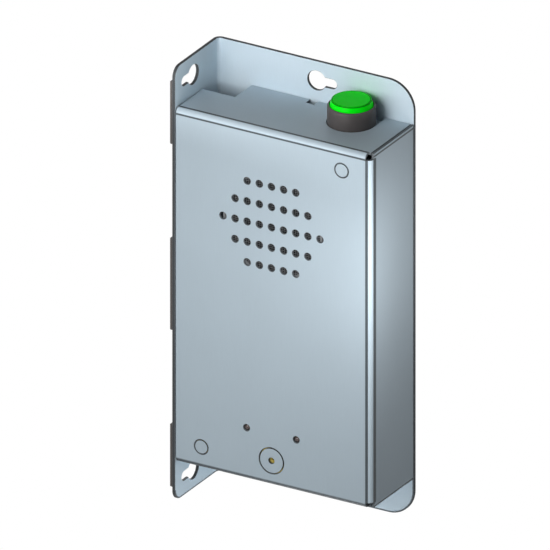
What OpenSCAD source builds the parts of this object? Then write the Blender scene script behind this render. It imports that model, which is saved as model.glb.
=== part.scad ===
// Elevator emergency intercom: a steel housing on a folded wall bracket, with a
// loudspeaker, a microphone, two lamps and a spring-return push button on its top.
// X runs across with +X to the right, Y = 0 is the wall and the front faces -Y,
// and Z runs up from the middle of the height. Depths are measured from the wall.

/* [Housing] */
// Width of the housing across the bracket
box_w = 100; // [98:1:116]
// Height of the housing between its ears
box_h = 170; // [166:1:196]
// Depth from the wall to the front face
box_d = 39; // [38.5:0.5:46]

/* [Mounting bracket] */
// Thickness of the bracket's sheet
bracket_t = 1.5; // [1.2:0.1:1.8]
// Inside radius of the bracket's fold
bracket_bend_r = 1.8; // [1:0.1:2.4]
// Height of each ear beyond the housing
ear_h = 19; // [18:0.5:24]
// Corner radius of the back plate's ears
ear_corner_r = 13; // [6:0.5:14]
// Corner radius of the side plate's ears
side_corner_r = 5; // [3:0.5:5.5]

/* [Keyholes] */
// Diameter of a keyhole's round part
key_d = 9.2; // [8.6:0.1:9.8]
// Width of a keyhole's slot
key_slot_w = 4.4; // [4.2:0.1:4.8]
// Distance from the round part's centre to the centre of the slot's end
key_run = 7.9; // [7:0.1:8.4]
// Distance from a keyhole's centre to the end of its ear
key_edge = 9.3; // [8.5:0.1:10.5]
// Distance of the back plate's keyholes right of the middle
back_key_x = 1; // [-4:0.5:5]
// Distance of the side plate's keyholes behind its front edge
side_key_inset = 15.9; // [15.5:0.1:21]

/* [Front cover] */
// Thickness of the cover's sheet
cover_t = 1.2; // [1:0.1:1.4]
// Inside radius of the cover's folds
cover_bend_r = 1.5; // [1:0.1:2]
// Gap between the cover and the bracket, and at the cover's open seams
fold_gap = 0.2; // [0.1:0.1:0.4]
// Width of the cable notch from the cover's left edge
cable_notch_w = 16.5; // [12:0.5:17]
// Reach of the cable notch in front of the back plate
cable_notch_reach = 14.5; // [10:0.5:16]
// Width of the small notch in the middle of the top
middle_notch_w = 4; // [3:0.5:6]
// Reach of the small notch in front of the back plate
middle_notch_reach = 4; // [3:0.5:6]

/* [Speaker grille] */
// Distance of the grille's centre below the top face
grille_drop = 46; // [44:1:48]
// Diameter of a grille hole
grille_hole_d = 3.4; // [2.6:0.1:4]
// Spacing of the grille holes across
grille_pitch_x = 6.1; // [5.4:0.1:6.4]
// Spacing of the grille's rows
grille_pitch_z = 9.75; // [8:0.05:9.9]

/* [Cover screws] */
// Distance of a cover screw from the housing's side
screw_inset_x = 14.7; // [13:0.1:15.5]
// Distance of a cover screw from the housing's end
screw_inset_z = 10.4; // [9.6:0.1:11.5]
// Diameter of a cover screw's flush head
screw_head_d = 6.3; // [6:0.1:7]
// Diameter of a cover screw's thread
screw_d = 3; // [2.6:0.1:3.4]

/* [Push button] */
// Distance of the button from the housing's right side
button_inset = 25; // [23:0.5:27]
// Depth of the button's axis
button_depth = 12.7; // [12.6:0.1:15]
// Diameter of the button's bezel
bezel_d = 21.4; // [20.8:0.1:22.2]
// Height of the bezel above the top face
bezel_h = 8.5; // [8:0.1:10]
// Diameter of the lens at the bezel's rim
lens_d = 18.9; // [18.3:0.1:19.1]
// Diameter of the lens's flat top
lens_top_d = 17.1; // [16.4:0.1:17.6]
// Height of the lens above the bezel
lens_rise = 2.4; // [2.2:0.1:3]
// Diameter of the button's threaded barrel
barrel_d = 16; // [15.8:0.1:16.4]
// Travel of the button when it is pressed
button_travel = 2; // [1.2:0.1:2.2]

/* [Lamps and microphone] */
// Diameter of an indicator lamp
led_d = 3; // [2.8:0.1:3.4]
// Distance of each lamp from the middle
led_x = 12.5; // [11:0.5:14]
// Height of the lamps above the bottom face
led_rise = 25; // [24:0.5:27]
// Height of the microphone above the bottom face
mic_rise = 12; // [11.5:0.1:12.5]
// Diameter of the microphone's cover disc
mic_disc_d = 11.7; // [11:0.1:12.2]
// Gap round the microphone's cover disc
mic_disc_gap = 0.4; // [0.3:0.1:0.5]
// Diameter of the sound hole in the cover disc
mic_hole_d = 3; // [2.4:0.1:3.4]

/* [Side pads] */
// Thickness of a side pad
pad_t = 1.3; // [1:0.1:2]
// Width of a side pad
pad_w = 4.6; // [3.8:0.1:4.8]
// Length of the pads at the two ends
end_pad_l = 30; // [24:1:32]
// Length of the pad in the middle
middle_pad_l = 44; // [36:1:60]
// Distance of an end pad's centre from the end of the side plate
end_pad_inset = 21.8; // [21.5:0.1:24]

/* [Loudspeaker] */
// Diameter of the loudspeaker
speaker_d = 50; // [49:0.5:51]
// Depth of the loudspeaker behind its rim
speaker_depth = 17.5; // [17:0.1:18]
// Diameter of the loudspeaker's magnet
magnet_d = 30; // [28:0.5:31]
// Thickness of the loudspeaker's magnet
magnet_t = 5; // [4.6:0.1:5.4]

/* [Main board] */
// Gap between the main board and each side of the housing
board_gap_side = 10; // [9:0.5:10.5]
// Gap between the main board and the top face
board_gap_top = 35; // [34:0.5:36]
// Gap between the main board and the bottom face
board_gap_bottom = 17; // [16.5:0.5:18]
// Thickness of the boards
board_t = 1.6; // [1.2:0.1:1.8]
// Length of the main board's standoffs
standoff_l = 6.5; // [5.5:0.5:7]

/* [Hidden] */
$fn = 64;

// Length by which a cutting shape passes the faces that it cuts
overrun = 1;
// Gap between parts that fit without running
fit_gap = 0.1;
// Gap between parts that move past each other
run_gap = 0.3;

// Edges of the housing and the inner faces of the cover
side_x = box_w / 2;
top_z = box_h / 2;
inner_top_z = top_z - cover_t;
cover_inner = box_d - cover_t;

// Outer radius of the cover's folds, and where the flat sheet ends
cover_fold_r = cover_bend_r + cover_t;
fold_x = side_x - cover_fold_r;
fold_z = top_z - cover_fold_r;
fold_depth = box_d - cover_fold_r;
cover_left = -side_x + bracket_t + fold_gap;
cover_rear = bracket_t + fold_gap;
button_x = side_x - button_inset;

// Ends of the bracket and the height of its keyholes
bracket_top = top_z + ear_h;
key_z = bracket_top - key_edge;
side_key_depth = box_d - side_key_inset;

// Number of grille holes in each row from the bottom up
grille_rows = [5, 7, 9, 7, 5];
speaker_z = top_z - grille_drop;

// Places of the two cover screws, one at the upper right and one at the lower left
screw_x = side_x - screw_inset_x;
screw_z = top_z - screw_inset_z;
// Length of a cover screw's thread
screw_thread_l = 8.5;
// Height of the straight rim of a cover screw's head
screw_rim_h = 0.15;
// Size across the flats and depth of a cover screw's socket
screw_socket_w = 2;
screw_socket_depth = 1;
// Gap round the plug that closes a cover screw's socket
screw_plug_gap = 0.05;
// Radius of a cover screw's cone where it leaves the sheet
screw_cone_r = screw_head_d / 2 + screw_rim_h - cover_t;
// Width across the flats of the cover pillar
pillar_w = 7;
// Depth of a tapped hole
tapped_depth = 11;
// Depth of the chamfer at a tapped hole's mouth, clear of the screw's cone
tapped_chamfer = screw_cone_r - screw_d / 2 + fit_gap;
// Diameter and length of the cover nut on the button bracket
nut_d = 7;
nut_l = 4.5;

// Button bracket: sheet, inside bend radius, gap below the cover's top
shelf_t = 1.5;
shelf_bend_r = 0.5;
shelf_margin = 14;
shelf_top = inner_top_z - run_gap;
shelf_bottom = shelf_top - shelf_t;
shelf_fold_r = shelf_bend_r + shelf_t;
shelf_left = button_x - shelf_margin;
// Half width of the front lip that carries the cover nut, and its length below the screw
lip_half_w = 7.5;
lip_below = 6;
shelf_right = screw_x + lip_half_w;
shelf_front = cover_inner - fold_gap;
shelf_low_z = screw_z - lip_below;
// Rivets that hold the button bracket to the back plate
rivet_d = 3;
rivet_head_d = 5;
rivet_head_t = 1;
rivet_inset = 4;
rivet_places = [shelf_left + rivet_inset, shelf_right - rivet_inset];
rivet_z = shelf_low_z + rivet_inset;

// Stack of the button from the shelf up
button_gasket_t = 0.8;
button_gasket_d = 18.2;
bezel_floor_t = 2;
bezel_chamfer = 0.6;
barrel_flange_t = 1;
barrel_flange_d = 18;
gasket_top = shelf_top + button_gasket_t;
bezel_floor_top = gasket_top + bezel_floor_t;
flange_top = bezel_floor_top + barrel_flange_t;
bezel_top = top_z + bezel_h;
bezel_bore_r = lens_d / 2 + run_gap;
lens_top = bezel_top + lens_rise;
lens_bottom = flange_top + button_travel + run_gap;
lens_top_t = 1.6;
lens_wall = 0.9;
lens_inner_r = lens_top_d / 2 - lens_wall;
diffuser_t = 1.6;
diffuser_top = lens_top - lens_top_t;
diffuser_collar_w = 1.6;

// Inside of the button's barrel, from the neck down
neck_r = 4.6;
neck_l = 5;
chamber_r = 6.7;
plunger_bore_r = 2.9;
plunger_head_t = 2;
spring_space = 7;
base_t = 2;
base_flange_t = 1.5;
neck_bottom = flange_top - neck_l;
head_top = neck_bottom - run_gap;
head_bottom = head_top - plunger_head_t;
head_r = chamber_r - run_gap;
base_top = head_bottom - spring_space;
barrel_bottom = base_top - base_t;
// Contact ring below the plunger, and the two posts that it bridges
contact_t = 0.4;
contact_w = 1.3;
post_d = 1;
post_r = head_r - contact_w / 2 - fit_gap;
post_top = head_bottom - contact_t - button_travel - run_gap;
terminal_l = 7;
terminal_bottom = barrel_bottom - base_flange_t - terminal_l;
terminal_w = 2.2;
terminal_t = 0.6;
// Return spring: wire, coil radius, turns, sides and steps in a turn
spring_wire_r = 0.35;
spring_r = 4.1;
spring_turns = 5;
spring_sides = 6;
spring_steps = 18;
// Lock nut and washer below the shelf
locknut_w = 18;
locknut_t = 3;
washer_t = 0.6;
washer_d = 18.2;
// Lamp inside the button
button_lamp_r = 2.5;
button_lamp_h = 8.4;
button_lamp_foot_t = 1;
button_lamp_foot_w = 0.3;
lead_d = 0.6;
lead_pitch = 2.54;

// Loudspeaker stack from the cover's inner face back to the wall
speaker_r = speaker_d / 2;
gauze_t = 0.3;
speaker_gasket_t = 1;
rim_front = cover_inner - gauze_t - speaker_gasket_t;
rim_t = 1.2;
rim_rear = rim_front - rim_t;
rim_lip_w = 0.6;
rim_w = 3;
bowl_r = speaker_r - rim_w;
frame_t = 0.9;
cone_t = 0.4;
speaker_rear = rim_front - speaker_depth;
yoke_t = 2;
top_plate_t = 2;
magnet_rear = speaker_rear + yoke_t;
top_plate_rear = magnet_rear + magnet_t;
frame_rear = top_plate_rear + top_plate_t;
plate_inset = 1;
plate_r = magnet_d / 2 - plate_inset;
magnet_bore_r = 9;
pole_r = 6.2;
pole_over = 0.3;
air_gap = 1.4;
coil_former_r = 6.7;
coil_former_t = 0.2;
coil_wire_t = 0.5;
coil_wire_l = 4;
cone_neck_depth = frame_rear + 2.2 * frame_t;
cone_edge = rim_front - cone_t;
roll_gap = 0.5;
roll_w = 3.4;
roll_h = 0.7;
roll_steps = 8;
cap_h = 2;
cap_over = 1.2;
cap_steps = 8;
window_w = 11;
window_count = 4;
// Studs on the cover that clamp the loudspeaker's rim
stud_d = 3;
stud_l = 9;
stud_gap = 3.7;
stud_reach = speaker_r + stud_gap;
clamp_collar_r = 2.4;
clamp_r = 5;
clamp_t = 0.9;
stud_nut_w = 5.5;
stud_nut_t = 2.4;
// Tag board of the loudspeaker
tag_board_w = 13;
tag_board_h = rim_w - frame_t - fit_gap;
tag_board_t = 1.2;
tag_w = 1.6;
tag_l = 5;
tag_t = 0.5;
tag_x = 4;

// Lamp board behind the lower front, with its spacers and screws
led_h = 5.3;
led_foot_t = 1;
led_foot_w = 0.4;
led_hole_gap = 0.1;
led_z = -top_z + led_rise;
mic_z = -top_z + mic_rise;
lamp_board_front = box_d - led_h;
lamp_board_w = 38;
lamp_board_above = 6;
lamp_board_below = 7;
spacer_x = 15.5;
spacer_z = (led_z + mic_z) / 2;
spacer_d = 5;
small_screw_d = 2.5;
small_head_d = 4.6;
small_head_t = 1.6;
small_thread_l = 4;
// Microphone behind its disc
mic_bush_d = 16;
mic_bush_t = 1.3;
mic_bush_hole_d = 1.6;
mic_capsule_d = 6;
mic_boot_wall = 1.6;
mic_boot_front = cover_inner - mic_bush_t;

// Main board on its standoffs
board_w = box_w - 2 * board_gap_side;
board_top = top_z - board_gap_top;
board_bottom = -top_z + board_gap_bottom;
board_h = board_top - board_bottom;
board_z = (board_top + board_bottom) / 2;
board_rear = bracket_t + standoff_l;
board_front = board_rear + board_t;
board_screw_inset = 4;
board_screw_d = 3;
board_head_d = 5.6;
board_head_t = 1.8;
board_thread_l = 4;
standoff_d = 6;
board_places = [
    for (x = [-1, 1], z = [board_bottom + board_screw_inset, board_top - board_screw_inset])
        [x * (board_w / 2 - board_screw_inset), z]
];

// Parts on the main board: sizes as across, up, forward, and places as shares of
// the half board from its middle
terminal_ways = 8;
terminal_pitch = 5;
terminal_depth = 10;
terminal_height = 10;
terminal_wall = 0.8;
terminal_mouth = 3.6;
terminal_screw_d = 3;
terminal_screw_rise = 0.4;
terminal_slot_w = 0.6;
terminal_slot_depth = 0.7;
terminal_share = [-0.79, 0.25];
core_size = [19, 16, 12];
core_leg = 3.2;
coil_over = 2.4;
transformer_share = [0.6, -0.28];
relay_size = [20, 10, 11];
relay_foot = 0.6;
relay_shares = [[-0.08, -0.46], [-0.08, -0.72]];
capacitor_d = 8;
capacitor_h = 11.5;
capacitor_groove = 0.4;
capacitor_groove_z = 2;
capacitor_shares = [[-0.62, -0.45], [-0.62, -0.62], [0.42, -0.6]];
chip_size = [12, 12, 1.6];
chip_share = [0.02, 0.1];
amplifier_size = [10, 4.5, 15];
amplifier_share = [0.62, 0.18];
sink_size = [18, 1.6, 15];
fin_count = 6;
fin_l = 7;
fin_t = 1.2;
switch_size = [21, 6.4, 4.2];
switch_share = [-0.12, -0.24];
switch_ways = 8;
switch_lever = [1.2, 1.4, 0.9];
trimmer_size = [9.5, 9.5, 5];
trimmer_shares = [[0.82, -0.6], [0.5, -0.8]];
trimmer_d = 6;
trimmer_rise = 1;
header_size = [10, 5.6, 6];
header_wall = 0.8;
header_shares = [[0.45, 0.86], [0.62, 0.7], [-0.5, -0.86]];

// Places children with their z axis pointing out of the wall, at a depth
module at_front(x, z, depth) {
    translate([x, -depth, z])
        rotate([90, 0, 0])
            children();
}

// Extrudes a shape seen from the front, from a depth towards the front
module from_wall(depth, thick) {
    at_front(0, 0, depth)
        linear_extrude(thick)
            children();
}

// Extrudes a shape drawn as depth and height, from an x position towards the left
module from_side(x, thick) {
    translate([x, 0, 0])
        rotate([90, 0, -90])
            linear_extrude(thick)
                children();
}

// What a rounded corner takes off a square one that points along +x and +y
module corner_waste(r) {
    difference() {
        translate([-r, -r])
            square(r + overrun);
        translate([-r, -r])
            circle(r);
    }
}

// Keyhole with its slot along +x
module keyhole() {
    circle(key_d / 2);
    translate([0, -key_slot_w / 2])
        square([key_run, key_slot_w]);
    translate([key_run, 0])
        circle(key_slot_w / 2);
}

// Rectangle centred on the origin
module plate(w, h) {
    translate([-w / 2, -h / 2])
        square([w, h]);
}

// Block that stands on the origin, given as across, up and forward
module block(size) {
    linear_extrude(size[2])
        plate(size[0], size[1]);
}

// Hexagon by its width across the flats, with two flats square to y
module hexagon(w) {
    rotate(30)
        circle(w / 2 / cos(30), $fn = 6);
}

// Bracket seen from above, with its fold at the origin
module bracket_section() {
    difference() {
        square([box_w, box_d]);
        rotate(180)
            corner_waste(bracket_bend_r + bracket_t);
        translate([bracket_t, bracket_t])
            difference() {
                square([box_w, box_d]);
                rotate(180)
                    corner_waste(bracket_bend_r);
            }
    }
}

// One folded sheet with two keyholed ears on the back plate and two on the side plate
module mounting_bracket() {
    color("#9fabb3")
    difference() {
        translate([-side_x, 0, -bracket_top])
            mirror([0, 1, 0])
                linear_extrude(2 * bracket_top)
                    bracket_section();
        for (end = [-1, 1]) {
            from_wall(-overrun, bracket_t + 2 * overrun) {
                translate([side_x, end * bracket_top])
                    rotate(end > 0 ? 0 : -90)
                        corner_waste(ear_corner_r);
                translate([back_key_x, end * key_z])
                    keyhole();
            }
            from_side(-side_x + bracket_t + overrun, bracket_t + 2 * overrun) {
                translate([box_d, end * bracket_top])
                    rotate(end > 0 ? 0 : -90)
                        corner_waste(side_corner_r);
                translate([side_key_depth, end * key_z])
                    keyhole();
            }
        }
        for (x = rivet_places)
            at_front(x, rivet_z, -overrun)
                cylinder(bracket_t + 2 * overrun, d = rivet_d + fit_gap);
    }
}

// Depth and height section with both front corners rounded
module rounded_front(rear, front, half_h, r) {
    difference() {
        translate([rear, -half_h])
            square([front - rear, 2 * half_h]);
        translate([front, half_h])
            corner_waste(r);
        translate([front, -half_h])
            rotate(-90)
                corner_waste(r);
    }
}

// Cover seen from above at its right fold
module right_fold_section() {
    difference() {
        translate([fold_x - cover_fold_r, cover_rear])
            square([2 * cover_fold_r, box_d - cover_rear]);
        translate([side_x, box_d])
            corner_waste(cover_fold_r);
        difference() {
            translate([fold_x - cover_fold_r - overrun, cover_rear - overrun])
                square([2 * cover_fold_r + overrun - cover_t, cover_inner - cover_rear + overrun]);
            translate([side_x - cover_t, cover_inner])
                corner_waste(cover_bend_r);
        }
    }
}

// Folded sheet with open corners before any hole is cut
module cover_sheet() {
    from_side(fold_x, fold_x - cover_left)
        difference() {
            rounded_front(cover_rear, box_d, top_z, cover_fold_r);
            rounded_front(cover_rear - overrun, cover_inner, inner_top_z, cover_bend_r);
        }
    translate([0, 0, -fold_z])
        mirror([0, 1, 0])
            linear_extrude(2 * fold_z)
                right_fold_section();
    translate([side_x - cover_t, -fold_depth, -top_z])
        cube([cover_t, fold_depth - cover_rear, box_h]);
    for (low = [-top_z, inner_top_z])
        translate([fold_x - overrun, -fold_depth, low])
            cube([cover_fold_r - cover_t - fold_gap + overrun, fold_depth - cover_rear, cover_t]);
}

// Notches in the rear edge of the top: cable entry, small middle notch, button
module top_notches() {
    translate([0, 0, inner_top_z - overrun])
        mirror([0, 1, 0])
            linear_extrude(cover_t + 2 * overrun) {
                translate([cover_left - overrun, 0])
                    square([cable_notch_w + overrun, bracket_t + cable_notch_reach]);
                translate([-middle_notch_w / 2, 0])
                    square([middle_notch_w, bracket_t + middle_notch_reach]);
                translate([button_x, button_depth])
                    circle(bezel_d / 2 + fold_gap);
                translate([button_x - bezel_d / 2 - fold_gap, 0])
                    square([bezel_d + 2 * fold_gap, button_depth]);
            }
}

// Round holes in rows that widen to the middle row
module grille_holes() {
    for (row = [0 : len(grille_rows) - 1])
        for (i = [0 : grille_rows[row] - 1])
            translate([
                (i - (grille_rows[row] - 1) / 2) * grille_pitch_x,
                speaker_z + (row - (len(grille_rows) - 1) / 2) * grille_pitch_z
            ])
                circle(grille_hole_d / 2);
}

module front_cover() {
    color("#b3c0c9")
    difference() {
        cover_sheet();
        top_notches();
        from_wall(cover_inner - overrun, cover_t + 2 * overrun) {
            grille_holes();
            for (x = [-led_x, led_x])
                translate([x, led_z])
                    circle(led_d / 2 + led_hole_gap);
            translate([0, mic_z])
                circle(mic_disc_d / 2 + mic_disc_gap);
        }
        for (side = [-1, 1])
            at_front(side * screw_x, side * screw_z, box_d - screw_rim_h) {
                translate([0, 0, -cover_t])
                    cylinder(cover_t, d = screw_d + fit_gap);
                translate([0, 0, -screw_head_d / 2])
                    cylinder(screw_head_d / 2, r1 = fit_gap, r2 = screw_head_d / 2 + fit_gap);
                cylinder(screw_rim_h + overrun, r = screw_head_d / 2 + fit_gap);
            }
        translate([cover_left, -cover_rear, -top_z - overrun])
            mirror([0, 1, 0])
                linear_extrude(box_h + 2 * overrun)
                    rotate(180)
                        corner_waste(bracket_bend_r);
    }
}

// Flush countersunk screws whose hexagon sockets are closed by pressed-in plugs
module cover_screws() {
    head_r = screw_head_d / 2;
    thread_r = screw_d / 2 - fit_gap;
    cone_h = head_r - thread_r;
    color("#aab6be")
    for (side = [-1, 1])
        at_front(side * screw_x, side * screw_z, box_d) {
            difference() {
                rotate_extrude()
                    polygon([
                        [0, 0],
                        [head_r, 0],
                        [head_r, -screw_rim_h],
                        [thread_r, -screw_rim_h - cone_h],
                        [thread_r, -screw_rim_h - cone_h - screw_thread_l],
                        [0, -screw_rim_h - cone_h - screw_thread_l]
                    ]);
                translate([0, 0, -screw_socket_depth])
                    linear_extrude(screw_socket_depth + overrun)
                        hexagon(screw_socket_w);
            }
            translate([0, 0, -screw_socket_depth - fit_gap])
                linear_extrude(screw_socket_depth + fit_gap)
                    hexagon(screw_socket_w - 2 * screw_plug_gap);
        }
}

// Tapped hole that opens at the origin and runs down
module tapped_hole(d, depth) {
    translate([0, 0, -depth])
        cylinder(depth + overrun, d = d);
    translate([0, 0, -tapped_chamfer])
        cylinder(tapped_chamfer + overrun, r1 = d / 2, r2 = d / 2 + tapped_chamfer + overrun);
}

// Hexagonal pillar between the back plate and the cover at the lower left
module cover_pillar() {
    color("#c8c2a0")
    at_front(-screw_x, -screw_z, cover_inner)
        difference() {
            translate([0, 0, bracket_t - cover_inner])
                linear_extrude(cover_inner - bracket_t)
                    hexagon(pillar_w);
            tapped_hole(screw_d, tapped_depth);
        }
}

// Clinch nut behind the button bracket's front lip at the upper right
module cover_nut() {
    color("#c8c2a0")
    at_front(screw_x, screw_z, shelf_front - shelf_t)
        difference() {
            translate([0, 0, -nut_l])
                cylinder(nut_l, d = nut_d);
            translate([0, 0, -nut_l - overrun])
                cylinder(nut_l + 2 * overrun, d = screw_d);
        }
}

// Three soft strips along the front edge of the side plate's outer face
module side_pads() {
    color("#4d4a48")
    for (strip = [
        [bracket_top - end_pad_inset, end_pad_l],
        [0, middle_pad_l],
        [end_pad_inset - bracket_top, end_pad_l]
    ])
        from_side(-side_x, pad_t)
            translate([box_d - fold_gap - pad_w, strip[0] - strip[1] / 2])
                square([pad_w, strip[1]]);
}

// Ring seen from the front, from a depth towards the front
module ring(x, z, depth, thick, outer_r, inner_r) {
    at_front(x, z, depth)
        difference() {
            cylinder(thick, r = outer_r);
            translate([0, 0, -overrun])
                cylinder(thick + 2 * overrun, r = inner_r);
        }
}

// Turned piece on the loudspeaker's axis, drawn as radius and depth
module speaker_turned() {
    at_front(0, speaker_z, 0)
        rotate_extrude()
            children();
}

// Black gauze behind the grille
module speaker_gauze() {
    color("#2f3032")
    at_front(0, speaker_z, cover_inner - gauze_t)
        cylinder(gauze_t, r = speaker_r);
}

module speaker_gasket() {
    color("#26282a")
    ring(0, speaker_z, rim_front, speaker_gasket_t, speaker_r, bowl_r + roll_gap);
}

// Pressed basket with windows round its bowl
module speaker_frame() {
    foot_r = plate_r;
    color("#8d9296")
    difference() {
        speaker_turned()
            polygon([
                [pole_r + air_gap, frame_rear],
                [foot_r, frame_rear],
                [bowl_r + frame_t, rim_rear],
                [speaker_r, rim_rear],
                [speaker_r, rim_front],
                [speaker_r - rim_lip_w, rim_front],
                [speaker_r - rim_lip_w, rim_front - cone_t],
                [bowl_r, rim_front - cone_t],
                [foot_r - frame_t, frame_rear + frame_t],
                [pole_r + air_gap, frame_rear + frame_t]
            ]);
        for (i = [0 : window_count - 1])
            at_front(0, speaker_z, frame_rear + 2 * frame_t)
                rotate((i + 1 / 2) * 360 / window_count)
                    translate([foot_r, -window_w / 2, 0])
                        cube([speaker_r, window_w, rim_rear - frame_rear - 3 * frame_t]);
    }
}

// Closed strip of a path, thickened along y
function thick_path(path, t) = concat(path, [for (i = [len(path) - 1 : -1 : 0]) path[i] + [0, t]]);

// Paper cone with a rolled edge glued into the frame's rim
module speaker_cone() {
    roll_inner = bowl_r - roll_w;
    color("#3b3a38")
    speaker_turned()
        polygon(thick_path(concat(
            [[coil_former_r, cone_neck_depth], [roll_inner, cone_edge]],
            [for (i = [1 : roll_steps - 1]) [
                bowl_r - roll_w / 2 - roll_w / 2 * cos(180 * i / roll_steps),
                cone_edge + roll_h * sin(180 * i / roll_steps)
            ]],
            [[bowl_r, cone_edge], [speaker_r - rim_lip_w - fit_gap, cone_edge]]
        ), cone_t));
}

// Domed cap on the cone's throat
module speaker_dust_cap() {
    cap_r = coil_former_r + cap_over;
    cap_depth = cone_neck_depth + cone_t
        + (cap_r - coil_former_r) * (cone_edge - cone_neck_depth) / (bowl_r - roll_w - coil_former_r);
    color("#232222")
    speaker_turned()
        polygon(thick_path([
            for (i = [0 : cap_steps])
                [cap_r * cos(90 * i / cap_steps), cap_depth + cap_h * sin(90 * i / cap_steps)]
        ], cone_t));
}

// Paper former with its copper winding in the magnet's gap
module speaker_voice_coil() {
    former_r = coil_former_r + coil_former_t;
    wire_rear = top_plate_rear - top_plate_t / 2;
    color("#b06a3c")
    speaker_turned()
        polygon([
            [coil_former_r, wire_rear],
            [former_r + coil_wire_t, wire_rear],
            [former_r + coil_wire_t, wire_rear + coil_wire_l],
            [former_r, wire_rear + coil_wire_l],
            [former_r, cone_neck_depth],
            [coil_former_r, cone_neck_depth]
        ]);
}

module speaker_top_plate() {
    color("#b9bdbf")
    ring(0, speaker_z, top_plate_rear, top_plate_t, plate_r, pole_r + air_gap);
}

module speaker_magnet() {
    color("#3a3b3d")
    ring(0, speaker_z, magnet_rear, magnet_t, magnet_d / 2, magnet_bore_r);
}

// Rear plate and pole turned in one
module speaker_yoke() {
    color("#b9bdbf")
    at_front(0, speaker_z, speaker_rear) {
        cylinder(yoke_t, r = plate_r);
        cylinder(frame_rear - speaker_rear + pole_over, r = pole_r);
    }
}

// Tag board under the rim with two solder tags
module speaker_terminals() {
    color("#b59a5a")
    at_front(0, speaker_z - speaker_r, rim_rear - tag_board_t) {
        translate([0, tag_board_h / 2, 0])
            block([tag_board_w, tag_board_h, tag_board_t]);
        for (side = [-1, 1])
            translate([side * tag_x, tag_board_h / 2 - tag_l / 2, -tag_t])
                block([tag_w, tag_l, tag_t]);
    }
}

// Repeats children at the loudspeaker's four studs, at a depth
module at_studs(depth) {
    for (a = [45 : 90 : 315])
        at_front(stud_reach * cos(a), speaker_z + stud_reach * sin(a), depth)
            children();
}

module speaker_studs() {
    color("#b8a47a")
    at_studs(cover_inner - stud_l)
        cylinder(stud_l, d = stud_d);
}

// Collared clamps that hold the loudspeaker's rim to the cover
module speaker_clamps() {
    color("#c9ccce")
    at_studs(rim_rear - clamp_t)
        difference() {
            union() {
                cylinder(clamp_t, r = clamp_r);
                cylinder(cover_inner - rim_rear + clamp_t, r = clamp_collar_r);
            }
            translate([0, 0, -overrun])
                cylinder(cover_inner - rim_rear + clamp_t + 2 * overrun, d = stud_d + fit_gap);
        }
}

module speaker_nuts() {
    color("#c9ccce")
    at_studs(rim_rear - clamp_t - stud_nut_t)
        difference() {
            linear_extrude(stud_nut_t)
                hexagon(stud_nut_w);
            translate([0, 0, -overrun])
                cylinder(stud_nut_t + 2 * overrun, d = stud_d + fit_gap);
        }
}

// Places children on the button's upright axis, at a height
module on_button(z) {
    translate([button_x, -button_depth, z])
        children();
}

// Depth and height section of the button bracket: rear lip, shelf and front lip
module shelf_section(rear, front, top, r) {
    difference() {
        translate([rear, shelf_low_z])
            square([front - rear, top - shelf_low_z]);
        translate([front, top])
            corner_waste(r);
        translate([rear, top])
            rotate(90)
                corner_waste(r);
    }
}

// Shelf that carries the button and the upper cover screw
module button_bracket() {
    shelf_w = shelf_right - shelf_left;
    color("#8f999f")
    difference() {
        from_side(shelf_right, shelf_w)
            difference() {
                shelf_section(bracket_t, shelf_front, shelf_top, shelf_fold_r);
                translate([0, -overrun])
                    shelf_section(bracket_t + shelf_t, shelf_front - shelf_t, shelf_bottom + overrun, shelf_bend_r);
            }
        translate([shelf_left - overrun, -shelf_front - overrun, shelf_low_z - overrun])
            cube([
                shelf_w - 2 * lip_half_w + overrun,
                shelf_fold_r + overrun,
                shelf_top - shelf_low_z + 2 * overrun
            ]);
        on_button(shelf_bottom - overrun)
            cylinder(shelf_t + 2 * overrun, d = barrel_d + fit_gap);
        at_front(screw_x, screw_z, shelf_front - shelf_t - overrun)
            cylinder(shelf_t + 2 * overrun, r = max(screw_d / 2, screw_cone_r) + fit_gap);
        for (x = rivet_places)
            at_front(x, rivet_z, 0)
                cylinder(bracket_t + shelf_t + overrun, d = rivet_d + fit_gap);
    }
}

module button_rivets() {
    color("#c9ccce")
    for (x = rivet_places)
        at_front(x, rivet_z, 0) {
            cylinder(bracket_t + shelf_t, d = rivet_d);
            translate([0, 0, bracket_t + shelf_t])
                cylinder(rivet_head_t, d = rivet_head_d);
        }
}

module button_gasket() {
    color("#1f1f20")
    on_button(shelf_top)
        difference() {
            cylinder(button_gasket_t, d = button_gasket_d);
            translate([0, 0, -overrun])
                cylinder(button_gasket_t + 2 * overrun, d = barrel_d + fit_gap);
        }
}

// Dark ring that stands through the notch in the cover's top
module button_bezel() {
    bezel_r = bezel_d / 2;
    color("#4b4746")
    on_button(0)
        rotate_extrude()
            polygon([
                [barrel_d / 2 + fit_gap, gasket_top],
                [bezel_r, gasket_top],
                [bezel_r, bezel_top - bezel_chamfer],
                [bezel_r - bezel_chamfer / 2, bezel_top],
                [bezel_bore_r, bezel_top],
                [bezel_bore_r, bezel_floor_top],
                [barrel_d / 2 + fit_gap, bezel_floor_top]
            ]);
}

// Threaded barrel with a guide neck above its spring chamber
module button_barrel() {
    color("#3a3837")
    on_button(0)
        rotate_extrude()
            polygon([
                [neck_r + run_gap, flange_top],
                [barrel_flange_d / 2, flange_top],
                [barrel_flange_d / 2, bezel_floor_top],
                [barrel_d / 2, bezel_floor_top],
                [barrel_d / 2, barrel_bottom],
                [chamber_r, barrel_bottom],
                [chamber_r, neck_bottom],
                [neck_r + run_gap, neck_bottom]
            ]);
}

module button_washer() {
    color("#c9ccce")
    on_button(shelf_bottom - washer_t)
        difference() {
            cylinder(washer_t, d = washer_d);
            translate([0, 0, -overrun])
                cylinder(washer_t + 2 * overrun, d = barrel_d + fit_gap);
        }
}

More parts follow.
